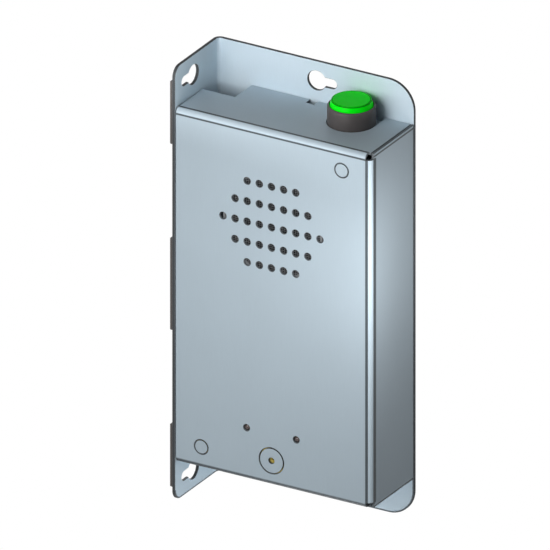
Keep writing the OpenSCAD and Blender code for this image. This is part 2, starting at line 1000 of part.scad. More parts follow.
module button_locknut() {
    color("#b7bbbd")
    on_button(shelf_bottom - washer_t - locknut_t)
        difference() {
            linear_extrude(locknut_t)
                rotate(30)
                    hexagon(locknut_w);
            translate([0, 0, -overrun])
                cylinder(locknut_t + 2 * overrun, d = barrel_d + fit_gap);
        }
}

// Green cap with a flat top, hollow from below
module button_lens() {
    color("#00c800")
    on_button(0)
        rotate_extrude()
            polygon([
                [0, diffuser_top],
                [lens_inner_r, diffuser_top],
                [lens_inner_r, lens_bottom],
                [lens_d / 2, lens_bottom],
                [lens_d / 2, bezel_top],
                [lens_top_d / 2, lens_top],
                [0, lens_top]
            ]);
}

// White disc that spreads the lamp's light and joins the lens to the plunger
module button_diffuser() {
    color("#f0f2ee")
    on_button(0)
        rotate_extrude()
            polygon([
                [plunger_bore_r, diffuser_top],
                [lens_inner_r - fit_gap, diffuser_top],
                [lens_inner_r - fit_gap, diffuser_top - diffuser_t],
                [neck_r + diffuser_collar_w, diffuser_top - diffuser_t],
                [neck_r + diffuser_collar_w, lens_bottom],
                [neck_r, lens_bottom],
                [neck_r, diffuser_top - diffuser_t],
                [plunger_bore_r, diffuser_top - diffuser_t]
            ]);
}

// Tube that slides in the barrel's neck, with a head that stops under it
module button_plunger() {
    color("#d9dcd6")
    on_button(0)
        rotate_extrude()
            polygon([
                [plunger_bore_r, diffuser_top - diffuser_t],
                [neck_r, diffuser_top - diffuser_t],
                [neck_r, head_top],
                [head_r, head_top],
                [head_r, head_bottom],
                [plunger_bore_r, head_bottom]
            ]);
}

module button_contact_ring() {
    color("#c78b4a")
    on_button(head_bottom - contact_t)
        difference() {
            cylinder(contact_t, r = head_r - fit_gap);
            translate([0, 0, -overrun])
                cylinder(contact_t + 2 * overrun, r = head_r - fit_gap - contact_w);
        }
}

// Middle of the spring's wire at a share of its length
function spring_at(s, low, high) = [
    spring_r * cos(360 * spring_turns * s),
    spring_r * sin(360 * spring_turns * s),
    low + (high - low) * s
];

// Round wire wound as one helix between the base and the plunger's head
module button_spring() {
    rings = spring_turns * spring_steps;
    low = base_top + spring_wire_r;
    high = head_bottom - spring_wire_r;
    points = [
        for (i = [0 : rings], k = [0 : spring_sides - 1])
            let (
                turn = 360 * i / spring_steps,
                across = spring_wire_r * cos(360 * k / spring_sides),
                up = spring_wire_r * sin(360 * k / spring_sides)
            )
            spring_at(i / rings, low, high) + [across * cos(turn), across * sin(turn), up]
    ];
    walls = [
        for (i = [0 : rings - 1], k = [0 : spring_sides - 1])
            let (a = i * spring_sides + k, b = i * spring_sides + (k + 1) % spring_sides)
            each [[a, a + spring_sides, b], [b, a + spring_sides, b + spring_sides]]
    ];
    first = [for (k = [0 : spring_sides - 1]) k];
    last = [for (k = [spring_sides - 1 : -1 : 0]) rings * spring_sides + k];
    color("#c9ccce")
    on_button(0)
        polyhedron(points, concat(walls, [first], [last]));
}

// Insulating plug in the barrel's lower end
module button_base() {
    color("#2b2b2c")
    on_button(0)
        difference() {
            union() {
                translate([0, 0, barrel_bottom])
                    cylinder(base_t, r = chamber_r - fit_gap);
                translate([0, 0, barrel_bottom - base_flange_t])
                    cylinder(base_flange_t, d = barrel_d);
            }
            for (side = [-1, 1]) {
                translate([side * post_r, 0, barrel_bottom - base_flange_t - overrun])
                    cylinder(base_t + base_flange_t + 2 * overrun, d = post_d);
                translate([0, side * lead_pitch / 2, barrel_bottom - base_flange_t - overrun])
                    cylinder(base_t + base_flange_t + 2 * overrun, d = lead_d);
            }
        }
}

// Lamp that shines up the hollow plunger
module button_lamp() {
    color("#c9f0c0")
    on_button(base_top) {
        cylinder(button_lamp_foot_t, r = button_lamp_r + button_lamp_foot_w);
        cylinder(button_lamp_h - button_lamp_r, r = button_lamp_r);
        translate([0, 0, button_lamp_h - button_lamp_r])
            sphere(button_lamp_r);
        for (side = [-1, 1])
            translate([0, side * lead_pitch / 2, terminal_bottom - base_top])
                cylinder(base_top - terminal_bottom, d = lead_d);
    }
}

// Contact posts that run through the base into solder tags
module button_terminals() {
    color("#c9a85a")
    for (side = [-1, 1])
        on_button(0)
            translate([side * post_r, 0, 0]) {
                translate([0, 0, barrel_bottom - base_flange_t])
                    cylinder(post_top - barrel_bottom + base_flange_t, d = post_d);
                translate([0, 0, terminal_bottom])
                    linear_extrude(terminal_l)
                        plate(terminal_t, terminal_w);
            }
}

// Steel disc that closes the microphone's hole flush with the front
module microphone_disc() {
    color("#b3c0c9")
    ring(0, mic_z, cover_inner, cover_t, mic_disc_d / 2, mic_hole_d / 2);
}

// Brass plate behind the disc with a fine sound hole
module microphone_bush() {
    color("#bda850")
    ring(0, mic_z, cover_inner - mic_bush_t, mic_bush_t, mic_bush_d / 2, mic_bush_hole_d / 2);
}

// Rubber sleeve round the capsule, between the bush and the lamp board
module microphone_boot() {
    boot_l = mic_boot_front - lamp_board_front;
    color("#1f1f20")
    ring(0, mic_z, lamp_board_front, boot_l, mic_capsule_d / 2 + mic_boot_wall, mic_capsule_d / 2);
}

module microphone_capsule() {
    color("#c4c8ca")
    at_front(0, mic_z, lamp_board_front)
        cylinder(mic_boot_front - lamp_board_front - run_gap, d = mic_capsule_d);
}

// Round lamp that stands on its board and shows through the cover
module lamp(x) {
    at_front(x, led_z, lamp_board_front) {
        cylinder(led_foot_t, r = led_d / 2 + led_foot_w);
        cylinder(led_h - led_d / 2, d = led_d);
        translate([0, 0, led_h - led_d / 2])
            sphere(led_d / 2);
    }
}

module lamp_left() {
    color("#cbbcc0")
    lamp(-led_x);
}

module lamp_right() {
    color("#cbbcc0")
    lamp(led_x);
}

// Small board behind the lower front that carries both lamps and the microphone
module lamp_board() {
    low = mic_z - lamp_board_below;
    high = led_z + lamp_board_above;
    color("#2f6b3c")
    from_wall(lamp_board_front - board_t, board_t)
        difference() {
            translate([-lamp_board_w / 2, low])
                square([lamp_board_w, high - low]);
            for (side = [-1, 1])
                translate([side * spacer_x, spacer_z])
                    circle(small_screw_d / 2 + fit_gap);
        }
}

module lamp_board_spacers() {
    color("#c9ccce")
    for (side = [-1, 1])
        ring(side * spacer_x, spacer_z, lamp_board_front, cover_inner - lamp_board_front,
            spacer_d / 2, small_screw_d / 2);
}

// Pan-head screw with its head on the origin's far side and its thread along +z
module pan_screw(d, head_d, head_t, thread_l) {
    difference() {
        translate([0, 0, -head_t])
            cylinder(head_t, d = head_d);
        translate([0, 0, -head_t - overrun])
            linear_extrude(head_t / 2 + overrun)
                hexagon(d / 2 + fit_gap);
    }
    cylinder(thread_l, d = d - fit_gap);
}

module lamp_board_screws() {
    color("#c9ccce")
    for (side = [-1, 1])
        at_front(side * spacer_x, spacer_z, lamp_board_front - board_t)
            pan_screw(small_screw_d, small_head_d, small_head_t, small_thread_l);
}

// Main board with a hole over each standoff
module main_board() {
    color("#2a6a3a")
    from_wall(board_rear, board_t)
        difference() {
            translate([-board_w / 2, board_bottom])
                square([board_w, board_h]);
            for (p = board_places)
                translate(p)
                    circle(board_screw_d / 2 + fit_gap);
        }
}

module board_standoffs() {
    color("#c9ccce")
    for (p = board_places)
        ring(p[0], p[1], bracket_t, standoff_l, standoff_d / 2, board_screw_d / 2);
}

module board_screws() {
    color("#c9ccce")
    for (p = board_places)
        at_front(p[0], p[1], board_front)
            mirror([0, 0, 1])
                pan_screw(board_screw_d, board_head_d, board_head_t, board_thread_l);
}

// Places children on the main board's front face by shares of its half size
module on_board(share) {
    at_front(share[0] * board_w / 2, board_z + share[1] * board_h / 2, board_front)
        children();
}

// Moulded terminal block with one wire mouth and one screw well for each way
module terminal_block() {
    block_l = terminal_ways * terminal_pitch;
    color("#3d8a55")
    on_board(terminal_share)
        difference() {
            block([terminal_depth, block_l, terminal_height]);
            for (i = [0 : terminal_ways - 1]) {
                way_z = (i - (terminal_ways - 1) / 2) * terminal_pitch;
                translate([-terminal_depth / 2 - overrun, way_z - terminal_mouth / 2, terminal_wall])
                    cube([terminal_depth / 2 + overrun, terminal_mouth, terminal_mouth]);
                translate([0, way_z, terminal_wall + terminal_mouth])
                    cylinder(terminal_height, d = terminal_screw_d + 2 * fit_gap);
            }
        }
}

module terminal_screws() {
    screw_l = terminal_height - terminal_wall - terminal_mouth - terminal_screw_rise;
    color("#c9ccce")
    on_board(terminal_share)
        for (i = [0 : terminal_ways - 1])
            translate([
                0,
                (i - (terminal_ways - 1) / 2) * terminal_pitch,
                terminal_wall + terminal_mouth
            ])
                difference() {
                    cylinder(screw_l, d = terminal_screw_d);
                    translate([-terminal_screw_d, -terminal_slot_w / 2, screw_l - terminal_slot_depth])
                        cube([2 * terminal_screw_d, terminal_slot_w, terminal_slot_depth + overrun]);
                }
}

// Laminated core with two windows for the winding
module line_transformer_core() {
    window = [(core_size[0] - 3 * core_leg) / 2, core_size[1] - 2 * core_leg];
    color("#6b6f73")
    on_board(transformer_share)
        linear_extrude(core_size[2])
            difference() {
                plate(core_size[0], core_size[1]);
                for (side = [-1, 1])
                    translate([side * (core_leg + window[0]) / 2, 0])
                        plate(window[0], window[1]);
            }
}

// Taped winding round the core's middle leg, proud of the core in front
module line_transformer_coil() {
    window_w2 = (core_size[0] - 3 * core_leg) / 2;
    coil_h = core_size[1] - 2 * core_leg;
    color("#c9a53a")
    on_board(transformer_share)
        difference() {
            block([core_leg + 2 * window_w2, coil_h, core_size[2] + coil_over]);
            translate([0, 0, -overrun])
                block([core_leg, coil_h + 2 * overrun, core_size[2] + overrun]);
        }
}

module relays() {
    color("#2b4f8a")
    for (share = relay_shares)
        on_board(share) {
            block([relay_size[0] - 2 * relay_foot, relay_size[1] - 2 * relay_foot, relay_foot]);
            translate([0, 0, relay_foot])
                block([relay_size[0], relay_size[1], relay_size[2] - relay_foot]);
        }
}

// Electrolytic cans with a rolled groove above the foot
module capacitors() {
    can_r = capacitor_d / 2;
    color("#3a3f66")
    for (share = capacitor_shares)
        on_board(share)
            rotate_extrude()
                polygon([
                    [0, 0],
                    [can_r, 0],
                    [can_r, capacitor_groove_z - capacitor_groove],
                    [can_r - capacitor_groove, capacitor_groove_z],
                    [can_r, capacitor_groove_z + capacitor_groove],
                    [can_r, capacitor_h - capacitor_groove],
                    [can_r - capacitor_groove, capacitor_h],
                    [0, capacitor_h]
                ]);
}

// Loudspeaker amplifier, upright against its heat sink
module amplifier() {
    color("#26282a")
    on_board(amplifier_share)
        block(amplifier_size);
}

module heat_sink() {
    color("#9aa0a4")
    on_board(amplifier_share)
        translate([0, amplifier_size[1] / 2 + sink_size[1] / 2, 0]) {
            block(sink_size);
            for (i = [0 : fin_count - 1])
                translate([
                    (i / (fin_count - 1) - 1 / 2) * (sink_size[0] - fin_t),
                    (fin_l + sink_size[1]) / 2,
                    0
                ])
                    block([fin_t, fin_l, sink_size[2]]);
        }
}

module controller() {
    color("#26282a")
    on_board(chip_share)
        block(chip_size);
}

// Row of small levers that sets the unit's address
module address_switch() {
    color("#a33a32")
    on_board(switch_share) {
        block(switch_size);
        for (i = [0 : switch_ways - 1])
            translate([
                (i - (switch_ways - 1) / 2) * lead_pitch,
                (i % 2 * 2 - 1) * switch_lever[1] / 2,
                switch_size[2]
            ])
                block(switch_lever);
    }
}

module volume_trimmers() {
    color("#2f62a8")
    for (share = trimmer_shares)
        on_board(share) {
            block(trimmer_size);
            difference() {
                cylinder(trimmer_size[2] + trimmer_rise, d = trimmer_d);
                translate([0, 0, trimmer_size[2]])
                    block([trimmer_d, trimmer_rise, trimmer_rise + overrun]);
            }
        }
}

// Shrouded plugs for the loudspeaker, the button and the lamp board
module board_headers() {
    color("#e6e2d6")
    for (share = header_shares)
        on_board(share)
            difference() {
                block(header_size);
                translate([0, 0, header_wall])
                    block([
                        header_size[0] - 2 * header_wall,
                        header_size[1] - 2 * header_wall,
                        header_size[2]
                    ]);
            }
}

mounting_bracket();
front_cover();
cover_screws();
cover_pillar();
cover_nut();
side_pads();
speaker_gauze();
speaker_gasket();
speaker_frame();
speaker_cone();
speaker_dust_cap();
speaker_voice_coil();
speaker_top_plate();
speaker_magnet();
speaker_yoke();
speaker_terminals();
speaker_studs();
speaker_clamps();
speaker_nuts();
button_bracket();
button_rivets();
button_gasket();
button_bezel();
button_barrel();
button_washer();
button_locknut();
button_lens();
button_diffuser();
button_plunger();
button_contact_ring();
button_spring();
button_base();
button_lamp();
button_terminals();
microphone_disc();
microphone_bush();
microphone_boot();
microphone_capsule();
lamp_left();
lamp_right();
lamp_board();
lamp_board_spacers();
lamp_board_screws();
main_board();
board_standoffs();
board_screws();
terminal_block();
terminal_screws();
line_transformer_core();
line_transformer_coil();
relays();
capacitors();
amplifier();
heat_sink();
controller();
address_switch();
volume_trimmers();
board_headers();
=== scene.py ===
# Elevator emergency intercom: the looks of the steel housing, its bracket, grille,
# lamps, microphone and push button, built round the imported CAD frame.
# Lengths are written in millimetres and turned into metres where they meet a mesh.
# X runs to the right, the wall is at Y = 0 with the front towards -Y, and Z is up.
import math

import bmesh
import bpy
import numpy as np
from mathutils import Matrix, Vector
from mathutils.geometry import delaunay_2d_cdt


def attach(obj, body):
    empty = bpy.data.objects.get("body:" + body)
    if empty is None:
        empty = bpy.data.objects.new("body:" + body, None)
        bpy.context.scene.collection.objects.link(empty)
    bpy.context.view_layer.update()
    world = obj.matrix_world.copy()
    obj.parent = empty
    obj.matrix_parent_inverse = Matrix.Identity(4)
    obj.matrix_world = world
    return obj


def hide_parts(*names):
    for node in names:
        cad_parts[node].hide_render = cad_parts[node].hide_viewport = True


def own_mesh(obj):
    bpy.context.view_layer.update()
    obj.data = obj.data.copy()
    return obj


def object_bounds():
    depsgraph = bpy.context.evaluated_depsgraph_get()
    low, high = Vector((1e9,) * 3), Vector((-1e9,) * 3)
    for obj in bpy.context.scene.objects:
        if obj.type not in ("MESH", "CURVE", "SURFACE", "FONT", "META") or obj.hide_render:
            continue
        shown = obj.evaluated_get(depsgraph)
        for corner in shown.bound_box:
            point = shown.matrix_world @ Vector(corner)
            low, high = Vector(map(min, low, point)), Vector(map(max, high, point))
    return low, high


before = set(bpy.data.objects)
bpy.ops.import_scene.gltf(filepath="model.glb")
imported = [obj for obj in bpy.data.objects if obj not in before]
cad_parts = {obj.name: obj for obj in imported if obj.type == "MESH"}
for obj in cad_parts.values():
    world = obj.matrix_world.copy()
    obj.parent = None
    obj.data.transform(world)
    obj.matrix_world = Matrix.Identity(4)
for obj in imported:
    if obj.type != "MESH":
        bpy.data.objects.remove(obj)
cad_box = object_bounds()
MM = 0.001


# ---------------------------------------------------------------- stage
# A pale floor well below the unit and a white surround that camera, gloss and
# glass see. Seven soft lamps light the front, right side, ears, back and left side.
class Tone:
    """What a node gives; sums on it add Math nodes."""

    def __init__(self, graph, socket):
        self.graph, self.socket = graph, socket

    def __add__(self, other):
        return self.graph.sum("ADD", self, other)

    def __sub__(self, other):
        return self.graph.sum("SUBTRACT", self, other)

    def __rsub__(self, other):
        return self.graph.sum("SUBTRACT", other, self)

    def __mul__(self, other):
        return self.graph.sum("MULTIPLY", self, other)

    def above(self, low, high):
        """0 below low and 1 above high, with a soft step between them."""
        return self.graph.node(
            "ShaderNodeMapRange", {"interpolation_type": "SMOOTHSTEP"}, {0: self, 1: low, 2: high}
        )

    __radd__, __rmul__ = __add__, __mul__


class Graph:
    """The nodes of one tree."""

    def __init__(self, tree):
        self.tree = tree

    def node(self, kind, settings=None, inputs=None, out=0):
        """Adds a node, sets it up, then fills or links its inputs; gives one output."""
        made = self.tree.nodes.new(kind)
        for key, value in (settings or {}).items():
            setattr(made, key, value)
        for key, value in (inputs or {}).items():
            self.fill(made.inputs[key], value)
        return Tone(self, made.outputs[out])

    def fill(self, socket, value):
        if isinstance(value, Tone):
            self.tree.links.new(value.socket, socket)
        elif socket.bl_idname.startswith("NodeSocketInt"):
            socket.default_value = int(value)
        elif hasattr(value, "__len__") and len(value) == 3 and len(socket.default_value) == 4:
            socket.default_value = (*value, 1)
        else:
            socket.default_value = value

    def sum(self, operation, *terms):
        return self.node("ShaderNodeMath", {"operation": operation}, dict(enumerate(terms)))


class Finish(Graph):
    """A node material for one finish."""

    def __init__(self, name, **fixed):
        self.material = bpy.data.materials.new(name)
        self.material.use_nodes = True
        super().__init__(self.material.node_tree)
        self.shader = self.tree.nodes["Principled BSDF"]
        self.place = self.node("ShaderNodeTexCoord", out="Object")
        for key, value in fixed.items():
            self.feed(key.replace("_", " "), value)

    def feed(self, name, value):
        self.fill(self.shader.inputs[name], value)

    def mix(self, share, one, other):
        """One colour turning into another."""
        return self.node(
            "ShaderNodeMix", {"data_type": "RGBA"}, {0: share, 6: one, 7: other}, out=2
        )

    def stretched(self, along):
        """Object coordinates scaled by a factor along each axis."""
        return self.node("ShaderNodeMapping", {}, {"Vector": self.place, "Scale": along})

    def noise(self, size, detail=2.0, along=(1, 1, 1), rough=0.5):
        """Cloudy variation from 0 to 1 whose patches are size millimetres across."""
        inputs = {"Vector": self.stretched(along), "Scale": 1 / (size * MM)}
        inputs.update({"Detail": detail, "Roughness": rough})
        return self.node("ShaderNodeTexNoise", {}, inputs)

    def attribute(self, name):
        return self.node("ShaderNodeAttribute", {"attribute_name": name}, out="Fac")

    def measured(self, axis):
        """The coordinate along an axis, 0 for X, 1 for Y and 2 for Z."""
        return self.node("ShaderNodeSeparateXYZ", {}, {0: self.place}, out=axis)

    def shaded(self, tint, level):
        """A colour made lighter or darker by a level."""
        return self.node("ShaderNodeVectorMath", {"operation": "SCALE"}, {0: tint, "Scale": level})

    def bump(self, height, depth):
        """Relief of depth millimetres from a height between 0 and 1."""
        relief = {"Strength": 1.0, "Distance": depth * MM, "Height": height}
        self.feed("Normal", self.node("ShaderNodeBump", {}, relief))

    def coat(self, tint, rough, height, depth):
        """Feeds the colour, the roughness and a relief, and gives the material."""
        self.feed("Base Color", tint)
        self.feed("Roughness", rough)
        self.bump(height, depth)
        return self.material


def camera_white(graph, shader, output):
    """Mixes a shader with pure white for the rays that show the background."""
    sky = shader.bl_idname == "ShaderNodeBackground"
    kind = "ShaderNodeBackground" if sky else "ShaderNodeEmission"
    white = graph.node(kind, {}, {"Color": (1, 1, 1), "Strength": 1.0})
    seen = graph.node("ShaderNodeLightPath", out="Is Camera Ray")
    for ray in ("Is Glossy Ray", "Is Transmission Ray"):
        seen = graph.sum("MAXIMUM", seen, graph.node("ShaderNodeLightPath", out=ray))
    plain = Tone(graph, shader.outputs[0])
    mixed = graph.node("ShaderNodeMixShader", {}, {0: seen, 1: plain, 2: white})
    graph.fill(graph.tree.nodes[output].inputs["Surface"], mixed)


def added(name, data):
    """A new object in the scene."""
    made = bpy.data.objects.new(name, data)
    bpy.context.scene.collection.objects.link(made)
    return made


FLOOR_DROP, FLOOR_SIZE, AMBIENT = 420, 16000, 0.05
floor_mesh = bpy.data.meshes.new("floor")
half = FLOOR_SIZE / 2 * MM
low = cad_box[0].z - FLOOR_DROP * MM
corners = [(-half, -half, low), (half, -half, low), (half, half, low), (-half, half, low)]
floor_mesh.from_pydata(corners, [], [(0, 1, 2, 3)])
floor = added("floor", floor_mesh)
floor_finish = Finish("pale_floor", Base_Color=(0.75, 0.75, 0.75), Roughness=0.8)
camera_white(floor_finish, floor_finish.shader, "Material Output")
floor_mesh.materials.append(floor_finish.material)

world = bpy.data.worlds.new("surround")
bpy.context.scene.world = world
world.use_nodes = True
backdrop = world.node_tree.nodes["Background"]
backdrop.inputs["Color"].default_value = (0.93, 0.96, 1.0, 1)
backdrop.inputs["Strength"].default_value = AMBIENT
camera_white(Graph(world.node_tree), backdrop, "World Output")


def soft_lamp(name, at, aim, size, watts):
    """A lamp with its place, the point it faces and its sides in millimetres."""
    lamp = added(name, bpy.data.lights.new(name, "AREA"))
    lamp.data.shape = "RECTANGLE"
    lamp.data.size, lamp.data.size_y = (side * MM for side in size)
    lamp.data.energy = watts
    lamp.location = Vector(at) * MM
    lamp.rotation_mode = "QUATERNION"
    lamp.rotation_quaternion = (Vector(aim) - Vector(at)).to_track_quat("-Z", "Y")
    lamp.visible_camera = False


soft_lamp("strip", (-10, -235, 31), (-394, -20, -10), (448, 60), 0.128)
soft_lamp("beside", (120, -60, 39), (50, -25, 35), (120, 30), 0.031)
soft_lamp("front", (-40, -515, 275), (0, -20, 0), (270, 260), 1.6)
soft_lamp("over the box", (-20, -90, 96), (-12, -40, 183), (130, 20), 0.046)
soft_lamp("under the box", (10, -43, -168), (10, -4, -94), (120, 20), 0.055)
soft_lamp("behind", (-200, 430, 0), (0, 0, 0), (300, 300), 1.1)
soft_lamp("left", (-520, -60, -40), (0, -20, 0), (300, 300), 0.8)

AZIMUTH, ELEVATION = math.radians(30.2), math.radians(25.0)
VIEW_WIDTH, VIEW_DEPTH, EYE_AWAY = 239.2, 20000, 900
SHIFT_RIGHT, SHIFT_UP = -18.05, 0.43
eye_back = Vector((math.sin(AZIMUTH), -math.cos(AZIMUTH), math.tan(ELEVATION))).normalized()
eye_right = Vector((math.cos(AZIMUTH), math.sin(AZIMUTH), 0))
eye_up = eye_back.cross(eye_right)
camera = added("camera", bpy.data.cameras.new("camera"))
bpy.context.scene.camera = camera
camera.data.type = "ORTHO"
camera.data.ortho_scale = VIEW_WIDTH * MM
camera.data.clip_end = VIEW_DEPTH * MM
camera.location = (eye_back * EYE_AWAY + eye_right * SHIFT_RIGHT + eye_up * SHIFT_UP) * MM
camera.rotation_mode = "QUATERNION"
camera.rotation_quaternion = (-eye_back).to_track_quat("-Z", "Y")
bpy.context.scene.view_settings.view_transform = "Standard"


# ---------------------------------------------------------------- mounting bracket
# One strip of 1.5 mm zinc-coated sheet, laser cut, then folded once into a back
# plate and a side plate. Screws in the wall catch the keyholes in its four ears.
def arc(cx, cy, r, start, end, steps):
    """Points round a centre, from one angle to another in degrees."""
    return [
        Vector((cx + r * math.cos(math.radians(a)), cy + r * math.sin(math.radians(a))))
        for a in (start + (end - start) * i / steps for i in range(steps + 1))
    ]


def circle(cx, cy, r, steps=40):
    """Clockwise, as every hole is drawn, so that the sheet lies to its left."""
    return arc(cx, cy, r, 360, 360 / steps, steps - 1)


def keyhole(cx, cy, facing):
    """Round entry with a slot whose end is towards -u or +u."""
    r, slot, run = 4.6, 2.2, 7.9
    lip = math.degrees(math.asin(slot / r))
    ring = arc(0, 0, r, -lip, lip - 360, 40) + arc(run, 0, slot, 90, -90, 16)
    return [Vector((cx + facing * p.x, cy + p.y)) for p in ring][:: 1 if facing > 0 else -1]


MITRE = 0.4


def offset(loop, d):
    """Moves a closed outline by d to its left, keeping its corners short of a spike."""
    moved = []
    for i, p in enumerate(loop):
        before = (p - loop[i - 1]).normalized()
        after = (loop[(i + 1) % len(loop)] - p).normalized()
        side = Vector((-before.y, before.x))
        lean = (side + Vector((-after.y, after.x))).normalized()
        moved.append(p + lean * d / max(lean.dot(side), MITRE))
    return moved


def inside(p, loops):
    """True where a point is inside an odd number of outlines."""
    crossed = False
    for loop in loops:
        for i, b in enumerate(loop):
            a = loop[i - 1]
            if (a.y > p.y) != (b.y > p.y):
                crossed ^= p.x < a.x + (b.x - a.x) * (p.y - a.y) / (b.y - a.y)
    return crossed


EDGE_BREAK = 0.2
WELD = 2e-6
MARK_SLACK = 0.05
CUT, BROKEN = 1.0, 0.9
# Lean of a broken edge's normal, and the least cosine of a corner that looks round
LEANING, ROUND_COSINE = 0.7, 0.7


def sheet_piece(name, loops, creases, marks, place, thick, highlight_at):
    """Folds a flat cut sheet: outlines with the sheet to their left, lines that carry
    the folds, painted dark lines as (start, end, half width), the place of a flat point at a
    height, and the share of the painted fold highlight at a flat point, from 0 to 1."""
    inner = [offset(loop, EDGE_BREAK) for loop in loops]
    for start, end, half in marks:
        aside = Vector(end) - Vector(start)
        aside = Vector((-aside.y, aside.x)).normalized() * half
        creases = creases + [[Vector(at) + aside * k for at in (start, end)] for k in (-1, 0, 1)]
    points, edges = [], []
    for loop in inner:
        first = len(points)
        points += loop
        edges += [(first + i, first + (i + 1) % len(loop)) for i in range(len(loop))]
    for a, b in creases:
        points += [Vector(a), Vector(b)]
        edges.append((len(points) - 2, len(points) - 1))
    flat, _, faces, *_ = delaunay_2d_cdt(points, edges, [], 0, 1e-5)
    faces = [f for f in faces if inside(sum((flat[i] for i in f), Vector((0, 0))) / 3, inner)]
    # A rim runs along every side that belongs to one triangle only
    used = sorted({i for f in faces for i in f})
    top = {i: k for k, i in enumerate(used)}
    count = len(used)
    sides = {(f[k], f[(k + 1) % 3]) for f in faces for k in range(3)}
    rim = {a: b for a, b in sides if (b, a) not in sides}
    back = {b: a for a, b in rim.items()}
    verts, wanted, strength, highlight_share = [], [], [], []

    def marked(p):
        """Strength of the painted dark lines at a flat point."""
        found = 0.0
        for a, b, half in marks:
            along, away = (Vector(b) - Vector(a)).normalized(), p - Vector(a)
            reach = (Vector(b) - Vector(a)).length
            if -MARK_SLACK < away.dot(along) < reach + MARK_SLACK:
                found = max(found, 1 - abs(away.cross(along)) / half)
        return found

    def add(u, v, h, lean):
        """A vertex, and its normal from the way the sheet lies there."""
        at = Vector(place(u, v, h))
        step = 1e-3
        ahead = Vector(place(u + lean[0] * step, v + lean[1] * step, h + lean[2] * step))
        verts.append(at * MM)
        wanted.append((ahead - at).normalized())
        strength.append(marked(Vector((u, v))))
        highlight_share.append(float(highlight_at(u, v)))
        return len(verts) - 1

    for h, up in ((thick, 1), (0, -1)):
        for i in used:
            add(flat[i].x, flat[i].y, h, (0, 0, up))
    polygons = [[top[i] for i in f] for f in faces]
    polygons += [[top[i] + count for i in reversed(f)] for f in faces]
    tags = [0] * len(polygons)
    # Each length of rim has a cut face between two broken edges
    for a, b in rim.items():
        way = (flat[b] - flat[a]).normalized()
        out = Vector((way.y, -way.x))
        ring = {}
        for end, i, other in ((0, a, back[a]), (1, b, rim[b])):
            near = (flat[i] - flat[other] if end == 0 else flat[other] - flat[i]).normalized()
            bend = Vector((near.y, -near.x))
            lean = (out + bend).normalized()
            edge = flat[i] + lean * EDGE_BREAK / max(lean.dot(out), MITRE)
            soft = lean if out.dot(bend) > ROUND_COSINE else out
            ring[end] = (i, edge, soft)
        high, low = thick - EDGE_BREAK, EDGE_BREAK
        for h0, h1, tilt in ((thick, high, LEANING), (high, low, 0), (low, 0, -LEANING)):
            corners = []
            for end, h in ((0, h0), (0, h1), (1, h1), (1, h0)):
                i, edge, soft = ring[end]
                at = flat[i] if h in (thick, 0) else edge
                corners.append(add(at.x, at.y, h, (soft.x, soft.y, tilt)))
            polygons.append(corners)
            tags.append(BROKEN if tilt else CUT)
    mesh = bpy.data.meshes.new(name)
    mesh.from_pydata(verts, [], polygons)
    mesh.attributes.new("cut", "FLOAT", "FACE").data.foreach_set("value", tags)
    for label, values in (("painted_line", strength), ("fold", highlight_share)):
        mesh.attributes.new(label, "FLOAT", "POINT").data.foreach_set("value", values)
    # Corners keep their own normals while the vertices are welded
    shape = bmesh.new()
    shape.from_mesh(mesh)
    normal_layer = shape.verts.layers.float_vector.new("wanted")
    shape.verts.ensure_lookup_table()
    for vertex, normal in zip(shape.verts, wanted):
        vertex[normal_layer] = normal
    loop_layer = shape.loops.layers.float_vector.new("corner_normal")
    for face in shape.faces:
        face.smooth = True
        for corner in face.loops:
            corner[loop_layer] = corner.vert[normal_layer]
    bmesh.ops.remove_doubles(shape, verts=shape.verts[:], dist=WELD)
    shape.to_mesh(mesh)
    shape.free()
    normals = np.zeros(len(mesh.loops) * 3, np.float32)
    mesh.attributes["corner_normal"].data.foreach_get("vector", normals)
    mesh.normals_split_custom_set(normals.reshape(-1, 3).tolist())
    for extra in ("corner_normal", "wanted"):
        mesh.attributes.remove(mesh.attributes[extra])
    return added(name, mesh)


def steel(name, tint, cut_tint=(0.068, 0.074, 0.079), fold_highlight=0.37):
    """Satin zinc-coated sheet: rolled grain, faint clouds and handling, folds lightened by a
    painted highlight and made glossier, dark painted lines beside them and elsewhere, partly
    painted shade, and dark laser-cut edges."""
    sheet = Finish(name, Metallic=0.06, Specular_IOR_Level=0.16)
    clouds = sheet.noise(34, 3)
    grain = sheet.noise(0.22, 2, (1, 1, 0.035))
    speckle = sheet.noise(0.5, 1)
    smear = sheet.noise(12, 4, (1, 1, 0.4), 0.6).above(0.52, 0.78)
    fold = sheet.attribute("fold").above(0.2, 1.0)
    # Dark lines painted into the colour from a mesh attribute; some of them are painted shade
    painted_lines = sheet.attribute("painted_line").above(0.02, 0.5)
    cut = sheet.attribute("cut")
    # The fold term in the level lightens the folds' colour, a painted highlight; below, it also
    # makes them glossier
    level = 0.93 + clouds * 0.07 + grain * 0.06 + speckle * 0.02 + fold * fold_highlight
    dark = tuple(c * 0.13 for c in tint)
    marked = sheet.mix(painted_lines * (0.9 + grain * 0.1), sheet.shaded(tint, level), dark)
    rough = 0.40 + grain * 0.08 + smear * 0.07 + cut * 0.15 - fold * 0.16
    return sheet.coat(sheet.mix(cut, marked, cut_tint), rough, grain * 0.7 + speckle * 0.3, 0.006)


